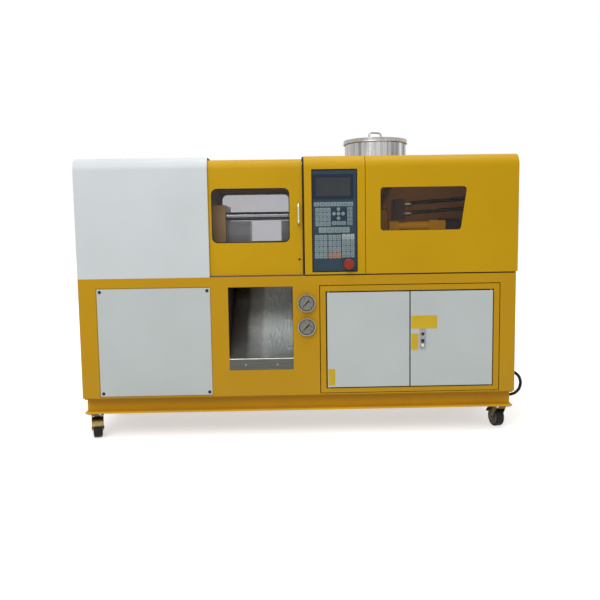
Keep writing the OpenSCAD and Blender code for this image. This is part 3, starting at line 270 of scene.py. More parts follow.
def sprayed_paint(name, colour, dust=0.0, shine=0.13, inside=None, painted_shade=None):
    """Oven-dried spray paint: cloudy colour, orange peel a millimetre across, uneven gloss, dust low down.
    Faces that look towards the middle of a hood may be given a paler colour, a painted light for the dim
    inside, inside = (colour, middle).
    Painted shade may darken it between two heights, painted_shade = (none here, most here)."""
    finish = new_finish(name)
    cloud = speckle(finish, 2.6, 4.0)
    peel = speckle(finish, 620.0, 2.0)
    wipe = speckle(finish, 16.0, 6.0, roughness=0.65)
    coat = blend_colours(finish, cloud, [(0.30, tone(colour, 0.95)), (0.70, tone(colour, 1.04))])
    height = along(finish, "Z")
    low_down = spread(finish, height, 1.0, 0.0, 0.10, 0.34)
    dusty = reckon(finish, "MULTIPLY", low_down, spread(finish, wipe, 0.1, 1.0))
    coat = mixed(finish, reckon(finish, "MULTIPLY", dusty, 0.10 + dust), coat, dust_colour)
    # Painted shade: the colour darkens between two given heights.
    if painted_shade:
        coat = mixed(finish, spread(finish, height, 0.0, 0.55, *painted_shade), coat, painted_shade_colour)
    # Painted light: faces turned to the hood's middle get a paler colour, to brighten the dim inside.
    if inside:
        painted_light_inside, middle = inside
        outward = reckon(finish, "SUBTRACT", object_place(finish), middle, kind=vector_math, result="Vector")
        normal = put(finish, "ShaderNodeNewGeometry").outputs["Normal"]
        facing = reckon(finish, "DOT_PRODUCT", outward, normal, kind=vector_math)
        coat = mixed(finish, reckon(finish, "LESS_THAN", facing, 0.0), coat, (*painted_light_inside, 1.0))
    return finish_with(finish, Base_Color=coat, Roughness=spread(finish, wipe, 0.30, 0.42),
                       Normal=bumped(finish, peel, 0.10, 0.0006), Specular_IOR_Level=shine)


def dress(finish, *names):
    """Gives CAD nodes their finish."""
    for name in names:
        solid = node[name]
        if not solid.material_slots:
            solid.data.materials.append(finish)
        for place in solid.material_slots:
            place.material = finish


# Painted light and shade: the base's yellow is lighter than the cabinet's and darkens towards the top of the
# web.
base_paint = sprayed_paint("yellow_base_paint", lightened_base_yellow, dust=0.06, painted_shade=(0.114, 0.168))
dress(base_paint, "base_side_channels", "base_end_channels")

# Casters
# Pressed steel plates and forks, zinc plated with a yellow passivate, on black rubber wheels with grey nylon
# hubs; the front pair has a brake plate over the wheel. Four hexagon bolts hold each plate to the channels.
wheel_turn = {"front_left": -75.0, "front_right": 104.0, "rear_left": 90.0, "rear_right": 90.0}
wheel_half, plate_thick = 0.016, 0.004
plate_half, bolt_half = (0.030, 0.0475), (0.021, 0.038)
hub_profile = [(0.0075, -0.0004), (0.0075, 0.0020), (0.0200, 0.0020), (0.0225, 0.0008), (0.0285, 0.0008),
               (0.0295, 0.0016), (0.0305, -0.0004)]
bolt_profile = [(0.0, 0.0050), (0.0060, 0.0050), (0.0068, 0.0044), (0.0068, -0.0004)]
to_floor = [[1, 0, 0], [0, -1, 0], [0, 0, -1]]


def plated_steel(name, colour, glow):
    """Zinc plate: bright grain of crystals, a drifting yellow or blue passivate, rough in the hollows."""
    finish = new_finish(name)
    drift = speckle(finish, 30.0, 4.0)
    grain = speckle(finish, 900.0, 2.0)
    return finish_with(finish, Base_Color=blend_colours(finish, drift, [(0.30, colour), (0.70, glow)]),
                       Metallic=1.0, Roughness=spread(finish, grain, 0.26, 0.44),
                       Normal=bumped(finish, grain, 0.10, 0.0004))


def quads(index):
    """Faces of a grid of point numbers: every four neighbours make one."""
    around = [index[..., :-1, :-1], index[..., :-1, 1:], index[..., 1:, 1:], index[..., 1:, :-1]]
    return np.stack(around, -1).reshape(-1, 4).tolist()


def skin(name, patches, finish, body):
    """A mesh from grids of points: every four neighbours in a patch make a face, and its last column joins
    its first."""
    points = np.asarray(patches, float)
    index = np.arange(points[..., 0].size).reshape(points.shape[:3])
    index = np.concatenate([index, index[:, :, :1]], 2)
    mesh = bpy.data.meshes.new(name)
    mesh.from_pydata(points.reshape(-1, 3).tolist(), [], quads(index))
    work = bmesh.new()
    work.from_mesh(mesh)
    bmesh.ops.remove_doubles(work, verts=work.verts, dist=1e-6)
    bmesh.ops.recalc_face_normals(work, faces=work.faces)
    work.to_mesh(mesh)
    work.free()
    mesh.shade_smooth()
    mesh.set_sharp_from_angle(angle=0.6)
    made = bpy.data.objects.new(name, mesh)
    scene.collection.objects.link(made)
    mesh.materials.append(finish)
    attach(made, body)
    return made


def turned(profile, count=24):
    """Surface of revolution about +Z: each profile point (radius, height) goes round a circle of points."""
    radius, height = np.asarray(profile, float).T
    angle = np.linspace(0.0, 2.0 * np.pi, count, endpoint=False)
    return np.stack([np.outer(radius, np.cos(angle)), np.outer(radius, np.sin(angle)),
                     np.repeat(height[:, None], count, 1)], -1)


def copies(shape, aim, places):
    """The same grid of points turned by a matrix and set at each place."""
    return (shape @ np.asarray(aim, float).T)[None] + np.asarray(places, float).reshape(-1, 1, 1, 3)


yellow_zinc = plated_steel("yellow_zinc", (0.070, 0.055, 0.030), (0.20, 0.145, 0.055))
blue_zinc = plated_steel("blue_zinc", (0.46, 0.47, 0.48), (0.62, 0.63, 0.64))
wheel_rubber = rubber("wheel_rubber", (0.015, 0.013, 0.012))
hub_nylon = rubber("hub_nylon", (0.085, 0.085, 0.088))
dress(yellow_zinc, "caster_plates")
plates_low, plates_high = corners("caster_plates")
hub = turned(hub_profile, 40)
bolt_places = []
for corner, angle in wheel_turn.items():
    dress(yellow_zinc, "caster_fork_" + corner)
    dress(wheel_rubber, "caster_wheel_" + corner)
    middle = sum(corners("caster_wheel_" + corner)) / 2.0
    aside = np.array([-np.sin(np.radians(angle)), np.cos(np.radians(angle)), 0.0])
    aims = [np.stack([np.cross([0, 0, 1], aside), [0, 0, way], aside * way], 1) for way in (1.0, -1.0)]
    hubs = [copies(hub, aim, middle + wheel_half * aim[:, 2]) for aim in aims]
    skin("caster_hub_" + corner, np.concatenate(hubs), hub_nylon, "wheel_" + corner)
    plate_x = np.sign(middle[0]) * (plates_high[0] - plate_half[0])
    plate_y = plates_high[1] - plate_half[1] if "rear" in corner else plates_low[1] + plate_half[1]
    bolt_places += [[plate_x + sx * bolt_half[0], plate_y + sy * bolt_half[1], plates_high[2] - plate_thick]
                    for sx in (-1, 1) for sy in (-1, 1)]
bolts = copies(turned(bolt_profile, 6), to_floor, bolt_places)
skin("caster_bolts", bolts, blue_zinc, "machine")

# Cabinet
# Folded and welded steel sheet, sprayed yellow: floor, front with its openings, ends and back, and the thick
# bed plate inside their upper edge.
cabinet_yellow = sprayed_paint("cabinet_yellow", (0.493, 0.267, 0.0062))
dress(cabinet_yellow, "cabinet_floor", "cabinet_front", "cabinet_sides", "cabinet_back", "machine_bed")

# Access panels
# Flat sheets sprayed pale grey, set flush in the front and the back, each held by a black button-head screw
# with a hexagon socket in every corner.
panel_width, screw_inset = 0.427, 0.011
socket_head = [(0.0, 0.0008), (0.0024, 0.0008), (0.0024, 0.0024), (0.0034, 0.0026), (0.0050, 0.0020),
               (0.0062, 0.0008), (0.0064, -0.0002)]
to_front = [[1, 0, 0], [0, 0, -1], [0, 1, 0]]
to_back = [[-1, 0, 0], [0, 0, 1], [0, 1, 0]]
grey_paint = sprayed_paint("grey_paint", (0.486, 0.528, 0.522), shine=0.25)
dress(grey_paint, "access_panels")
black_steel = new_finish("black_steel")
grain = speckle(black_steel, 700.0)
blacked = blend_colours(black_steel, grain, [(0.3, (0.010, 0.010, 0.011)), (0.7, (0.026, 0.026, 0.026))])
finish_with(black_steel, Base_Color=blacked, Roughness=spread(black_steel, grain, 0.32, 0.5), Metallic=0.5)
panels_low, panels_high = corners("access_panels")
screw_x = panels_low[0] + np.array([screw_inset, panel_width - screw_inset])
screw_z = np.array([panels_low[2] + screw_inset, panels_high[2] - screw_inset])
front_screws = [[x, panels_low[1], z] for x in screw_x for z in screw_z]
back_screws = [[x, panels_high[1], z] for x in (*screw_x, *-screw_x) for z in screw_z]
skin("panel_screws", np.concatenate([copies(turned(socket_head), to_front, front_screws),
                                     copies(turned(socket_head), to_back, back_screws)]),
     black_steel, "machine")

# Chute
# Folded stainless sheet between two side sheets, with a hemmed lip that two round-head screws hold; the steel
# is coloured far darker than bare stainless, as painted shade. The back and the floor are still under their
# thin protective film, which has been wrinkled by handling; its colour carries a painted reflection, dark at
# the left and near white at the right, and painted highlights along its creases, and it darkens towards the
# lip.
lip_screw_side, lip_screw_up = 0.062, 0.020
round_head = [(0.0, 0.0026), (0.0020, 0.0025), (0.0036, 0.0018), (0.0045, 0.0006), (0.0046, -0.0002)]
hem_r, hem_gap, hem_up = 0.0018, 0.0005, 0.0432
film_gap, film_rows, film_columns = 0.001, 270, 150
film_foot_in, film_head_in, film_foot_up, film_rise = 0.003, 0.004, 0.0454, 0.2407
film_rest, ridge_height, fine_height = 0.0003, 0.0045, 0.0013
loose_side, loose_foot, fade_side, fade_foot = 0.42, 0.05, 0.2, 0.1
reflection_shift, darkening_foot, darkening_top = 0.011, 0.077, 0.192
to_right = [[0, 0, 1], [0, 1, 0], [-1, 0, 0]]


def stainless(name, colour, streak, rough=(0.20, 0.42)):
    """Rolled stainless sheet: fine streaks along the rolling direction and a cloudy gloss."""
    finish = new_finish(name)
    line = speckle(finish, 26.0, 6.0, streak, 0.7)
    cloud = speckle(finish, 7.0, 4.0)
    rolled = blend_colours(finish, line, [(0.30, tone(colour, 0.72)), (0.70, tone(colour, 1.12))])
    return finish_with(finish, Base_Color=rolled, Metallic=1.0, Roughness=spread(finish, cloud, *rough),
                       Normal=bumped(finish, line, 0.05, 0.001))


def waves(u, v, seed, count, long):
    """Sum of cosines with random directions, about one wave length long, mostly between -1 and 1."""
    pick = np.random.default_rng(seed)
    angle, shift = pick.uniform(0, 2 * np.pi, (2, count))
    stretch = pick.uniform(0.6, 1.7, count) * 2 * np.pi / long
    total = np.zeros_like(u)
    for a, b, k in zip(angle, shift, stretch):
        total += np.cos((u * np.cos(a) + v * np.sin(a)) * k + b)
    return total / np.sqrt(count * 2.0)


def crests(u, v, seed, long):
    """Sharp lines where waves, squeezed across the sheet, pass through zero: 1 on a line and 0 beside it."""
    return np.clip(1.0 - np.abs(waves(u * 1.5, v * 0.6, seed, 7, long)) * 1.6, 0.0, 1.0)


# Painted shade: the chute's stainless is coloured far darker than bare steel, for the shaded chute.
shaded_chute_steel = stainless("shaded_chute_steel", (0.098, 0.098, 0.088), (0.3, 6.0, 6.0), (0.26, 0.40))
dull_steel = stainless("dull_steel", (0.25, 0.24, 0.22), (3.0, 3.0, 3.0))
dress(shaded_chute_steel, "chute_floor", "chute_sides")
chute_low, chute_high = corners("chute_floor")
chute_width = chute_high[0] - chute_low[0]
lip_screws = [[x, chute_low[1], chute_low[2] + lip_screw_up]
              for x in (chute_low[0] + lip_screw_side, chute_high[0] - lip_screw_side)]
skin("chute_screws", copies(turned(round_head), to_front, lip_screws), dull_steel, "machine")
hem_long = chute_width - 2.0 * hem_gap
hem = turned([(0.0, 0.0), (hem_r, 0.0), (hem_r, hem_long), (0.0, hem_long)], 12)
hem_start = chute_low + [hem_gap, hem_gap, hem_up]
skin("chute_hem", copies(hem, to_right, hem_start), blue_zinc, "machine")
film_width = chute_width - 2.0 * film_gap
film_foot = chute_low + [film_gap, film_foot_in, film_foot_up]
film_run = chute_high[1] - film_head_in - film_foot[1]
film_length, slope = np.hypot(film_run, film_rise), np.arctan2(film_rise, film_run)
u, v = np.meshgrid(np.linspace(0, film_width, film_columns), np.linspace(0, film_length, film_rows))
loose = np.clip((u / film_width - loose_side) / fade_side, 0.0, 1.0)
loose *= np.clip((v / film_length - loose_foot) / fade_foot, 0.0, 1.0)
loose *= np.clip(0.5 + waves(u, v, 12, 5, 0.12), 0.0, 1.0)
ridge, fine = crests(u, v, 4, 0.075), crests(u, v, 9, 0.030)
lift = film_rest + loose * (ridge_height * ridge ** 2 + fine_height * fine ** 2)
film = film_foot + np.stack([u, v * np.cos(slope) - lift * np.sin(slope),
                             v * np.sin(slope) + lift * np.cos(slope)], -1)
film_gloss = new_finish("film_gloss")
wander = speckle(film_gloss, 9.0, 3.0, roughness=0.5)
# Painted reflection: the film's colour runs from near black at the left to near white at the right.
band = reckon(film_gloss, "MULTIPLY_ADD", wander, 0.02, along(film_gloss, "X"))
band = spread(film_gloss, band, 0.0, 1.0, chute_low[0] + reflection_shift, chute_high[0] + reflection_shift)
tint = blend_colours(film_gloss, band, [
    (0.00, (0.085, 0.076, 0.070)), (0.24, (0.12, 0.112, 0.104)), (0.31, (0.46, 0.48, 0.47)),
    (0.48, (0.58, 0.62, 0.62)), (0.54, (0.90, 1.00, 1.00)), (1.00, (0.90, 1.00, 1.00))])
# Painted highlights: the crests of the creases are whitened in the colour.
crease_highlight = put(film_gloss, "ShaderNodeAttribute", {"attribute_name": "crease_highlight"}).outputs["Fac"]
highlighted_tint = mixed(film_gloss, crease_highlight, tint, (0.95, 0.97, 0.98, 1.0))
# The film darkens towards the lip.
darkening = reckon(film_gloss, "MULTIPLY_ADD", wander, 0.05, along(film_gloss, "Z"))
darkening = spread(film_gloss, darkening, 0.88, 0.0, chute_low[2] + darkening_foot, chute_low[2] + darkening_top)
finish_with(film_gloss, Base_Color=mixed(film_gloss, darkening, highlighted_tint, (0.06, 0.06, 0.055, 1.0)), Metallic=0.0,
            Roughness=spread(film_gloss, wander, 0.16, 0.30), Specular_IOR_Level=0.8)
film_mesh = bpy.data.meshes.new("chute_film")
film_mesh.from_pydata(film.reshape(-1, 3).tolist(), [], quads(np.arange(u.size).reshape(u.shape)))
film_mesh.shade_smooth()
# Painted highlights along the crests, stored on the mesh for the colour.
crease_highlights = loose * np.clip(1.1 * ridge ** 5 + 0.7 * fine ** 6, 0.0, 1.0)
highlight_layer = film_mesh.attributes.new("crease_highlight", "FLOAT", "POINT")
highlight_layer.data.foreach_set("value", crease_highlights.astype(np.float32).ravel())
film_mesh.materials.append(film_gloss)
film_piece = bpy.data.objects.new("chute_film", film_mesh)
scene.collection.objects.link(film_piece)
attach(film_piece, "machine")

# Pressure gauges
# Liquid-filled gauges with a rolled steel bezel: a pale dial printed with a scale from 0 to 25, a black
# needle at rest on zero, a turned cap over its pivot, a black ring round the dial and a flat glass.
gauge_r, gauge_step, dial_sink, dial_top = 0.034, 0.091, 0.004, 0.0003
dial_zero, dial_sweep, dial_steps, numbered = 225.0, 270.0, 25, 5
long_mark, short_mark, mark_end, mark_round = (0.0052, 0.0013), (0.0028, 0.0007), 0.0265, 0.0002
figure_r, figure_tall, figure_step = 0.0172, 0.0042, 0.0034
figure_stroke, figure_round, figure_thick = 0.16, 0.05, 0.00008
print_thick, needle_thick, needle_up = 0.0001, 0.0006, 0.0010
needle_ring = [[0.022, 0], [0.006, 0.0021], [-0.014, 0.0026], [-0.0145, 0], [-0.014, -0.0026],
               [0.006, -0.0021]]


def moulded(name, colour, rough=(0.38, 0.55)):
    """Moulded or printed plastic: fine even grain and slightly cloudy colour."""
    finish = new_finish(name)
    grain = speckle(finish, 420.0, 2.0)
    cloud = speckle(finish, 14.0, 3.0)
    clouded = blend_colours(finish, cloud, [(0.3, tone(colour, 0.93)), (0.7, tone(colour, 1.07))])
    return finish_with(finish, Base_Color=clouded, Roughness=spread(finish, grain, *rough),
                       Normal=bumped(finish, grain, 0.08, 0.0003), Specular_IOR_Level=0.2)


def smoked_acrylic(name, tint, shine=0.7):
    """Thin sheet: light passes tinted, a mirror film grows towards glancing angles, and smears dull it."""
    finish = new_finish(name)
    smear = speckle(finish, 9.0, 5.0)
    tinted = blend_colours(finish, smear, [(0.3, tone(tint, 0.985)), (0.7, tint)])
    clear = put(finish, "ShaderNodeBsdfTransparent", Color=tinted).outputs[0]
    gloss = put(finish, "ShaderNodeBsdfGlossy", Color=(0.9, 0.9, 0.9, 1.0),
                Roughness=spread(finish, smear, 0.02, 0.10)).outputs[0]
    facing = put(finish, "ShaderNodeLayerWeight", Blend=0.28).outputs["Fresnel"]
    mirror = reckon(finish, "MULTIPLY", facing, shine)
    sheet = put(finish, "ShaderNodeMixShader", i0=mirror, i1=clear, i2=gloss).outputs[0]
    put(finish, "ShaderNodeOutputMaterial", Surface=sheet)
    return finish


def rounded(width, height, corner, steps=3):
    """Ring of points round a rectangle: a quarter circle of the corner radius at each corner."""
    angle = np.linspace(0, np.pi / 2, steps)
    arcs = [(sx * (width / 2 - corner), sy * (height / 2 - corner), start)
            for sx, sy, start in ((1, 1, 0.0), (-1, 1, 0.5), (-1, -1, 1.0), (1, -1, 1.5))]
    return np.concatenate([np.stack([x + corner * np.cos(angle + start * np.pi),
                                     y + corner * np.sin(angle + start * np.pi)], 1) for x, y, start in arcs])


def raised(ring, thick, edge=0.0, crown=0.0, root=0.0002):
    """Boss on a flat ring: it rises from its root, turns in over its edge and closes at a middle one crown
    higher."""
    ring = np.asarray(ring, float)
    half = np.abs(ring).max(0)
    inner = ring * (half - edge) / half
    flat = np.zeros((len(ring), 1))
    return np.stack([np.hstack([ring, flat - root]), np.hstack([ring, flat + thick - edge]),
                     np.hstack([inner, flat + thick]), np.hstack([inner * 0.5, flat + thick + crown * 0.75]),
                     np.hstack([inner * 0.0, flat + thick + crown])])


def figure(digit, height):
    """A figure built of straight strokes: a boss for each stroke of the digit, on a grid one by two."""
    strokes = {"a": ((0, 2), (1, 2)), "b": ((1, 1), (1, 2)), "c": ((1, 0), (1, 1)), "d": ((0, 0), (1, 0)),
               "e": ((0, 0), (0, 1)), "f": ((0, 1), (0, 2)), "g": ((0, 1), (1, 1))}
    used = {"0": "abcdef", "1": "bc", "2": "abged", "5": "afgcd"}[digit]
    size, made = height / 2, []
    for start, end in (strokes[s] for s in used):
        start, end = (np.array(p) * size - [size / 2, size] for p in (start, end))
        length, wide = np.abs(end - start) + height * figure_stroke
        boss = raised(rounded(length, wide, height * figure_round), figure_thick)
        made.append(boss + [*(start + end) / 2, 0])
    return made


def about_z(angle):
    """Matrix that turns points by an angle about +Z."""
    return np.array([[np.cos(angle), -np.sin(angle), 0], [np.sin(angle), np.cos(angle), 0], [0, 0, 1]])


dress(dull_steel, "pressure_gauges")
dial_white = moulded("dial_white", (0.27, 0.27, 0.235))
print_black = moulded("print_black", (0.015, 0.015, 0.016))
gauge_glass = smoked_acrylic("gauge_glass", (0.93, 0.93, 0.92), 0.25)
marks = []
for step in range(dial_steps + 1):
    angle = np.radians(dial_zero - dial_sweep * step / dial_steps)
    long, wide = short_mark if step % numbered else long_mark
    spoke = raised(rounded(long, wide, mark_round), print_thick) + [mark_end - long / 2, 0, dial_top]
    marks.append(spoke @ about_z(angle).T)
    word = "" if step % numbered else str(step)
    for place, digit in enumerate(word):
        shift = (place - (len(word) - 1) / 2) * figure_step
        middle = [figure_r * np.cos(angle) + shift, figure_r * np.sin(angle), dial_top]
        marks += [stroke + middle for stroke in figure(digit, figure_tall)]
needle = (raised(needle_ring, needle_thick) + [0, 0, needle_up]) @ about_z(np.radians(dial_zero)).T
cap = turned([(0.0, 0.0026), (0.0022, 0.0025), (0.0030, 0.0018), (0.0030, 0.0002)])
dial = turned([(0.0, dial_top), (0.0150, dial_top), (0.0296, dial_top), (0.0298, -0.0003)], 48)
edge_ring = turned([(0.0272, 0.0002), (0.0272, 0.0009), (0.0297, 0.0012), (0.0297, 0.0002)], 48)
glass = turned([(0.0, 0.0034), (0.0150, 0.0034), (0.0296, 0.0034), (0.0298, 0.0030)], 48)
gauges_low, gauges_high = corners("pressure_gauges")
gauge_x, dial_y = (gauges_low[0] + gauges_high[0]) / 2.0, gauges_low[1] + dial_sink
dial_middles = [[gauge_x, dial_y, gauges_low[2] + gauge_r + up] for up in (gauge_step, 0.0)]
gauge_parts = (("gauge_dials", [dial], dial_white, "grey_paint"),
               ("gauge_marks", marks, print_black, "black_plastic"),
               ("gauge_needles", [needle], print_black, "black_plastic"),
               ("gauge_caps", [cap], print_black, "black_plastic"),
               ("gauge_rings", [edge_ring], print_black, "black_plastic"),
               ("gauge_glasses", [glass], gauge_glass, "smoked_pane"))
for name, shapes, finish, slot in gauge_parts:
    patches = np.concatenate([copies(shape, to_front, dial_middles) for shape in shapes])
    skin(name, patches, finish, "machine")

# Electrical cabinet
# A yellow box with two pale grey folded doors on hidden pins and a zinc-plated mounting plate inside. The
# right door has a pressed steel latch with a lock, a paddle and a button; three bare yellow plates are glued
# on, each given by its width and height, its gap to the door's edge and its middle above the door's foot.
plate_sheet, plate_round = 0.0005, 0.002
door_plates = (("right_door_plates", "right", [(0.099, 0.050, 0.002, 0.247), (0.027, 0.064, 0.002, 0.171)]),
               ("left_door_plate", "left", [(0.026, 0.064, 0.0025, 0.039)]))
lock_up, button_down = 0.019, 0.0245
paddle_size, paddle_round, paddle_thick, paddle_edge = (0.012, 0.014), 0.002, 0.0034, 0.0008
paddle_shift = (0.0, -0.008, -0.0030)
dress(cabinet_yellow, "electrical_box")
dress(grey_paint, "electrical_door_left", "electrical_door_right")
dress(blue_zinc, "mounting_plate")
dress(stainless("latch_steel", (0.28, 0.28, 0.28), (3.0, 3.0, 3.0)), "door_latch")
plate_yellow = moulded("plate_yellow", (0.58, 0.385, 0.015), (0.25, 0.4))
for name, hand, plates in door_plates:
    leaf_corner = corners("electrical_door_" + hand)[0]
    patches = []
    for wide, tall, gap, up in plates:
        plate = raised(rounded(wide, tall, plate_round), plate_sheet)
        patches.append(copies(plate, to_front, leaf_corner + [gap + wide / 2, 0.0, up])[0])
    skin(name, np.stack(patches), plate_yellow, "cabinet_door_" + hand)
paddle = raised(rounded(*paddle_size, paddle_round), paddle_thick, paddle_edge) + paddle_shift
key_plug = turned([(0.0, 0.0016), (0.0030, 0.0016), (0.0040, 0.0022), (0.0062, 0.0018), (0.0066, -0.0002)])
push = turned([(0.0, 0.0012), (0.0040, 0.0010), (0.0055, 0.0002), (0.0058, -0.0027)])
latch_low, latch_high = corners("door_latch")
latch_front = (latch_low + latch_high) / 2.0
latch_front[1] = latch_low[1]
for name, shape, up, finish, slot in (("latch_tongue", paddle, 0.0, black_steel, "dark_metal"),
                                      ("latch_key", key_plug, lock_up, black_steel, "dark_metal"),
                                      ("latch_button", push, -button_down, blue_zinc, "bright_steel")):
    skin(name, copies(shape, to_front, latch_front + [0.0, 0.0, up]), finish, "cabinet_door_right")

# Clamp cover
# One folded hood of pale grey steel with rounded upper edges and a flat end, welded and sprayed; it stands on
# the bed and covers the clamp unit.
cover_grey = sprayed_paint("cover_grey", (0.575, 0.610, 0.622), shine=0.25)
dress(cover_grey, "clamp_cover")

# Safety door
# A folded yellow sheet with a smoked acrylic window in rubber edging, a bent stainless handle, and a steel
# rail below and above, coloured nearly black as painted shade. One small screw near the foot holds its stop,
# and a black rubber lip in the gap beside it darkens that gap as painted shade. The panes of the rear guard
# and the injection cover are of the same kind of sheet.
pane_lap, edging_bite, edging_sink, edging_proud = 0.010, 0.0001, 0.0018, 0.0002
window_round, window_edge = 0.022, 0.003
side_window_circles = [(0.0679, 0.1739), (0.3481, 0.1739), (0.3681, 0.3111), (0.0679, 0.3111)]
side_round, side_edge = 0.012, 0.0018
hood_round, lip_in, lip_x, lip_end = 0.045, 0.004, 0.0242, -0.010
lip_size, lip_round = (0.0064, 0.0050), 0.0020
stop_screw_in, stop_screw_up = 0.013, 0.0577


def edging(name, centres, corner, wide, place, body):
    """Rubber edging in an opening: two rings round the corner circles, one wide inside the other, closed to
    a band. Each circle carries an arc between the outward normals of the sides that meet there."""
    centres = np.asarray(centres, float)
    side = np.roll(centres, -1, 0) - centres
    leaves = np.arctan2(-side[:, 0], side[:, 1])
    comes = np.roll(leaves, 1)
    sweep = np.linspace(comes, comes + (leaves - comes) % (2 * np.pi), 7, axis=1)
    arc = np.stack([np.cos(sweep), np.sin(sweep)], -1)
    outer, inner = ((centres[:, None] + r * arc).reshape(-1, 2) for r in (corner, corner - wide))
    rows = [(outer, -edging_sink), (outer, edging_proud), (inner, edging_proud), (inner, -edging_sink),
            (outer, -edging_sink)]
    band = np.stack([np.hstack([ring, np.full((len(ring), 1), up)]) for ring, up in rows])
    skin(name, copies(band, to_front, place), black_rubber, body)


def dress_between(name, finish, start, end):
    """Gives a second finish to the faces of a CAD node whose middle lies between two places along X."""
    mesh = node[name].data
    mesh.materials.append(finish)
    for face in mesh.polygons:
        if start < face.center[0] < end:
            face.material_index = 1


yellow_paint = sprayed_paint("yellow_paint", machine_yellow)
dress(yellow_paint, "safety_door", "rear_guard")
dress(stainless("handle_steel", (0.58, 0.56, 0.50), (3.0, 3.0, 0.2), (0.16, 0.30)), "door_handle")
# Painted shade: the rails are coloured nearly black, to read as the dark gap along the door.
dress(stainless("shaded_rail_steel", (0.10, 0.095, 0.085), (0.2, 3.0, 3.0)), "door_rails")
housing_low, housing_high = corners("control_housing")
lip_front, lip_foot, lip_top = housing_low[1] + lip_in, housing_low[2] + lip_in, housing_high[2] - lip_in
lip_turn = hood_round - lip_in
bend = np.linspace(np.pi, np.pi / 2, 9)
lip_arc = lip_turn * np.stack([np.cos(bend) + 1.0, np.sin(bend) - 1.0], 1) + [lip_front, lip_top]
lip_path = np.concatenate([[[lip_front, lip_foot]], lip_arc, [[lip_end, lip_top]]])
run = np.gradient(lip_path, axis=0)
run /= np.linalg.norm(run, axis=1)[:, None]
outward = np.stack([-run[:, 1], run[:, 0]], 1)
lip_ring = rounded(*lip_size, lip_round)
lip_across = np.repeat(lip_x + lip_ring[None, :, :1], len(lip_path), 0)
lip = np.concatenate([lip_across, lip_path[:, None] + lip_ring[None, :, 1:] * outward[:, None]], 2)
# Painted shade: a black rubber lip along the housing's edge darkens the gap beside the door.
skin("door_lip", lip[None], black_rubber, "machine")
door_low, door_high = corners("safety_door")
pane_low, pane_high = corners("door_window")
hood_low, hood_high = corners("injection_cover")
window_middle = (pane_low + pane_high) / 2.0
window_middle[1] = door_low[1]
window_half = (pane_high - pane_low)[[0, 2]] / 2.0 - pane_lap + edging_bite - window_round
edging("door_window_edging", square * window_half, window_round, window_edge, window_middle, "door")
edging("side_window_edging", side_window_circles, side_round, side_edge, hood_low, "machine")
stop_screw = [door_high[0] - stop_screw_in, door_low[1], door_low[2] + stop_screw_up]
skin("door_screw", copies(turned(round_head), to_front, stop_screw), black_steel, "door")
dress(smoked_acrylic("smoked_pane", (0.815, 0.815, 0.825)), "door_window", "fixed_windows")
amber_pane = smoked_acrylic("amber_pane", (1.0, 0.94, 0.88), 0.40)
dress_between("fixed_windows", amber_pane, hood_low[0], hood_high[0])

# Control panel
# The yellow housing holds a blue panel with a dark display in a raised bezel, fields of soft keys, round
# arrow keys on a dark square, and a red mushroom-head stop button. A field of keys is given by its left edge
# and foot from the panel's corner, its columns and rows, and a key's width and height, all in millimetres.
key_fields = [(9, 247, 7, 1, 19.7, 15.5), (14, 173, 4, 4, 13.2, 16), (76, 177, 3, 1, 16.5, 14),
              (134, 176, 2, 5, 9, 12.4), (26, 148, 4, 1, 28, 21), (11, 52, 3, 4, 14.7, 21),
              (62, 52, 3, 4, 14.7, 21), (113, 54, 3, 4, 14.7, 21)]
coloured_rows = {(6, 0): "orange", (7, 3): "pale"}
key_colours = {"grey": (0.200, 0.255, 0.265), "orange": (0.36, 0.19, 0.11), "pale": (0.33, 0.37, 0.37)}
key_gap, key_round, key_thick, key_edge, key_crown = 0.0015, 0.0016, 0.0012, 0.0006, 0.0003
stroke_tall, stroke_round, stroke_up = 0.0019, 0.0005, 0.0014
arrow_r, arrow_step, arrow_middle = 0.0069, 0.017, (0.101, 0.0, 0.219)
field_size, field_round, field_sheet, field_middle = (0.058, 0.049), 0.003, 0.0003, (0.102, 0.0, 0.2175)
panel_lap, panel_round, panel_edge = 0.005, 0.006, 0.0042
bezel_proud, bezel_foot, bezel_blue = 0.0002, 0.80, (0.008, 0.014, 0.034, 1.0)
panel_low, panel_high = corners("control_panel")
panel_corner = np.array([panel_low[0] + panel_lap, corners("keypad")[1][1], panel_low[2] + panel_lap])
dress(yellow_paint, "control_housing")
console_blue = new_finish("console_blue")
grain = speckle(console_blue, 420.0, 2.0)
cloud = speckle(console_blue, 14.0, 3.0)
proud = reckon(console_blue, "LESS_THAN", along(console_blue, "Y"), panel_corner[1] - bezel_proud)
upper = reckon(console_blue, "GREATER_THAN", along(console_blue, "Z"), bezel_foot)
sheet = blend_colours(console_blue, cloud, [(0.3, (0.020, 0.043, 0.063)), (0.7, (0.024, 0.050, 0.072))])
bezel = reckon(console_blue, "MULTIPLY", proud, upper)
finish_with(console_blue, Base_Color=mixed(console_blue, bezel, sheet, bezel_blue),
            Roughness=spread(console_blue, grain, 0.38, 0.55), Specular_IOR_Level=0.2,
            Normal=bumped(console_blue, grain, 0.08, 0.0003))
dress(console_blue, "control_panel")
dress(moulded("screen_grey", (0.034, 0.040, 0.045), (0.10, 0.16)), "display_screen")
dress(moulded("stop_red", (0.265, 0.026, 0.014), (0.22, 0.34)), "emergency_stop")
panel_middle = (panel_low + panel_high) / 2.0
panel_middle[1] = housing_low[1]
panel_half = (panel_high - panel_low)[[0, 2]] / 2.0 - panel_lap - panel_round
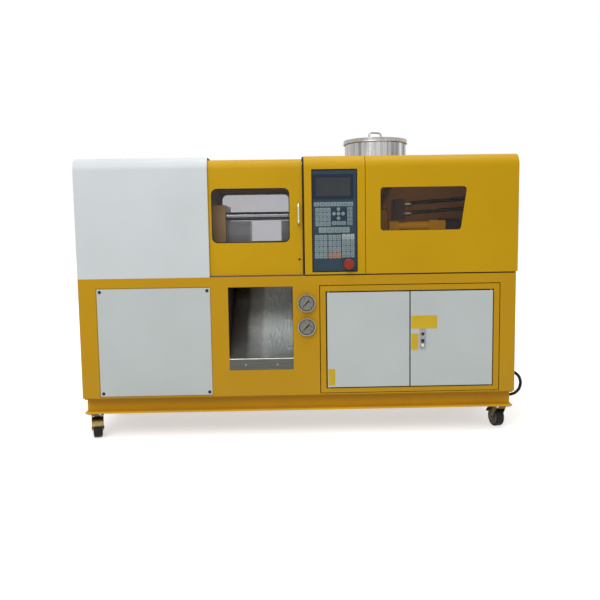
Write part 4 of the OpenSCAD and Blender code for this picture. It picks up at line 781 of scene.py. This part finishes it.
# Painted shade: a black band round the panel stands for the dark shade line round its recess.
edging("panel_shade_edging", square * panel_half, panel_round, panel_edge, panel_middle, "machine")
key_lots, key_strokes = {colour: [] for colour in key_colours}, []
for field, (left, foot, columns, rows, wide, tall) in enumerate(key_fields):
    left, foot, wide, tall = np.array([left, foot, wide, tall]) / 1000.0
    key = raised(rounded(wide, tall, key_round), key_thick, key_edge, key_crown)
    for row in range(rows):
        for column in range(columns):
            centre = panel_corner + [left + wide / 2 + column * (wide + key_gap), 0.0,
                                     foot + tall / 2 + row * (tall + key_gap)]
            key_lots[coloured_rows.get((field, row), "grey")].append(copies(key, to_front, centre)[0])
            length = (0.40 + 0.10 * ((3 * column + 5 * row + field) % 4)) * wide
            for share, up in ((1.0, -0.16), (0.7, 0.18)):
                stroke = raised(rounded(length * share, stroke_tall, stroke_round), print_thick)
                key_strokes.append(copies(stroke, to_front, centre + [0.0, -stroke_up, up * tall])[0])
circle = np.linspace(0, 2 * np.pi, 12, endpoint=False)
arrow_ring = arrow_r * np.stack([np.cos(circle), np.sin(circle)], 1)
arrow_key = raised(arrow_ring, key_thick, key_edge, key_crown)
for dx, dz in ((0, 0), (1, 0), (-1, 0), (0, 1), (0, -1)):
    centre = panel_corner + arrow_middle + [arrow_step * dx, 0.0, arrow_step * dz]
    key_lots["grey"].append(copies(arrow_key, to_front, centre)[0])
for colour, shade in key_colours.items():
    plastic = moulded("key_" + colour, shade)
    keys = skin("keys_" + colour, np.array(key_lots[colour]), plastic, "machine")
    if colour == "grey":
        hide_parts("keypad")
mark_blue = moulded("mark_blue", (0.05, 0.07, 0.09))
skin("key_marks", np.array(key_strokes), mark_blue, "machine")
arrow_field = raised(rounded(*field_size, field_round), field_sheet)
skin("arrow_field", copies(arrow_field, to_front, panel_corner + field_middle),
     moulded("field_dark", (0.014, 0.029, 0.044)), "machine")

# Injection cover
# A yellow hood with a flat right end and a slanted smoked window, on black rubber seals; its inside is
# painted paler, as painted light for the dim inside. The cable glands on the cabinet end are black nylon.
hood_middle_z, painted_light_colour = 0.80, (0.95, 0.66, 0.40)
hood_middle = (*(hood_low + hood_high)[:2] / 2.0, hood_middle_z)
cover_paint = sprayed_paint("cover_paint", machine_yellow, inside=(painted_light_colour, hood_middle))
dress(cover_paint, "injection_cover")
dress(black_rubber, "cover_seals", "hydraulic_hoses")
dress(moulded("gland_black", (0.022, 0.022, 0.023)), "cable_glands")

# Hopper
# Rolled stainless cylinder on a spun cone, with a flat brushed lid that has a rolled edge; the rolling lines
# run up and down the wall and break up what the sheet mirrors. Their colour runs from near black to near
# white, partly the rolling lines and partly painted reflections.
hopper_steel = new_finish("hopper_steel")
line = speckle(hopper_steel, 22.0, 6.0, (1.5, 1.5, 0.03), 0.7)
cloud = speckle(hopper_steel, 7.0, 4.0)
# Painted reflection: the streaks run from near black to near white.
rolled = blend_colours(hopper_steel, line, [(0.36, (0.13, 0.125, 0.115)), (0.46, (0.34, 0.335, 0.325)),
                                            (0.54, (0.46, 0.455, 0.45)), (0.64, (0.80, 0.79, 0.78))])
finish_with(hopper_steel, Base_Color=rolled, Metallic=1.0, Roughness=spread(hopper_steel, cloud, 0.20, 0.34),
            Normal=bumped(hopper_steel, line, 0.10, 0.001))
dress(hopper_steel, "hopper", "hopper_cone")
dress(stainless("lid_steel", (0.42, 0.415, 0.405), (2.5, 0.15, 0.15), (0.20, 0.34)), "hopper_lid")

# Clamp and injection units
# Yellow platens and carriage, chromed tie bars and ram, ground steel mould bases and barrel, a dark enamelled
# clamp cylinder and motor, and dull steel ferrules on the hoses, all seen dimly through the smoked windows.
ferrule_long = 0.0265
dress(yellow_paint, "rear_platen", "fixed_platen", "feed_block", "injection_carriage", "injection_cylinders")
# Painted light: the moving platen is a paler orange than the machine's yellow, to brighten it behind the dim
# window.
dress(sprayed_paint("platen_painted_light", (0.95, 0.55, 0.20)), "moving_platen")
polished = new_finish("polished_chrome")
haze = speckle(polished, 45.0, 4.0)
chromed = blend_colours(polished, haze, [(0.3, (0.36, 0.36, 0.37)), (0.7, (0.46, 0.46, 0.47))])
finish_with(polished, Base_Color=chromed, Metallic=1.0, Roughness=spread(polished, haze, 0.08, 0.20))
dress(polished, "tie_bars", "clamp_ram")
ground_steel = stainless("ground_steel", (0.29, 0.285, 0.285), (0.3, 4.0, 4.0), (0.24, 0.42))
dress(ground_steel, "fixed_mould_base", "moving_mould_base", "barrel")
dress(sprayed_paint("dark_enamel", (0.030, 0.030, 0.033)), "clamp_cylinder", "screw_motor", "hose_manifold")
hoses_start = corners("hydraulic_hoses")[0][0]
dress_between("hydraulic_hoses", dull_steel, hoses_start - ferrule_long, hoses_start + ferrule_long)
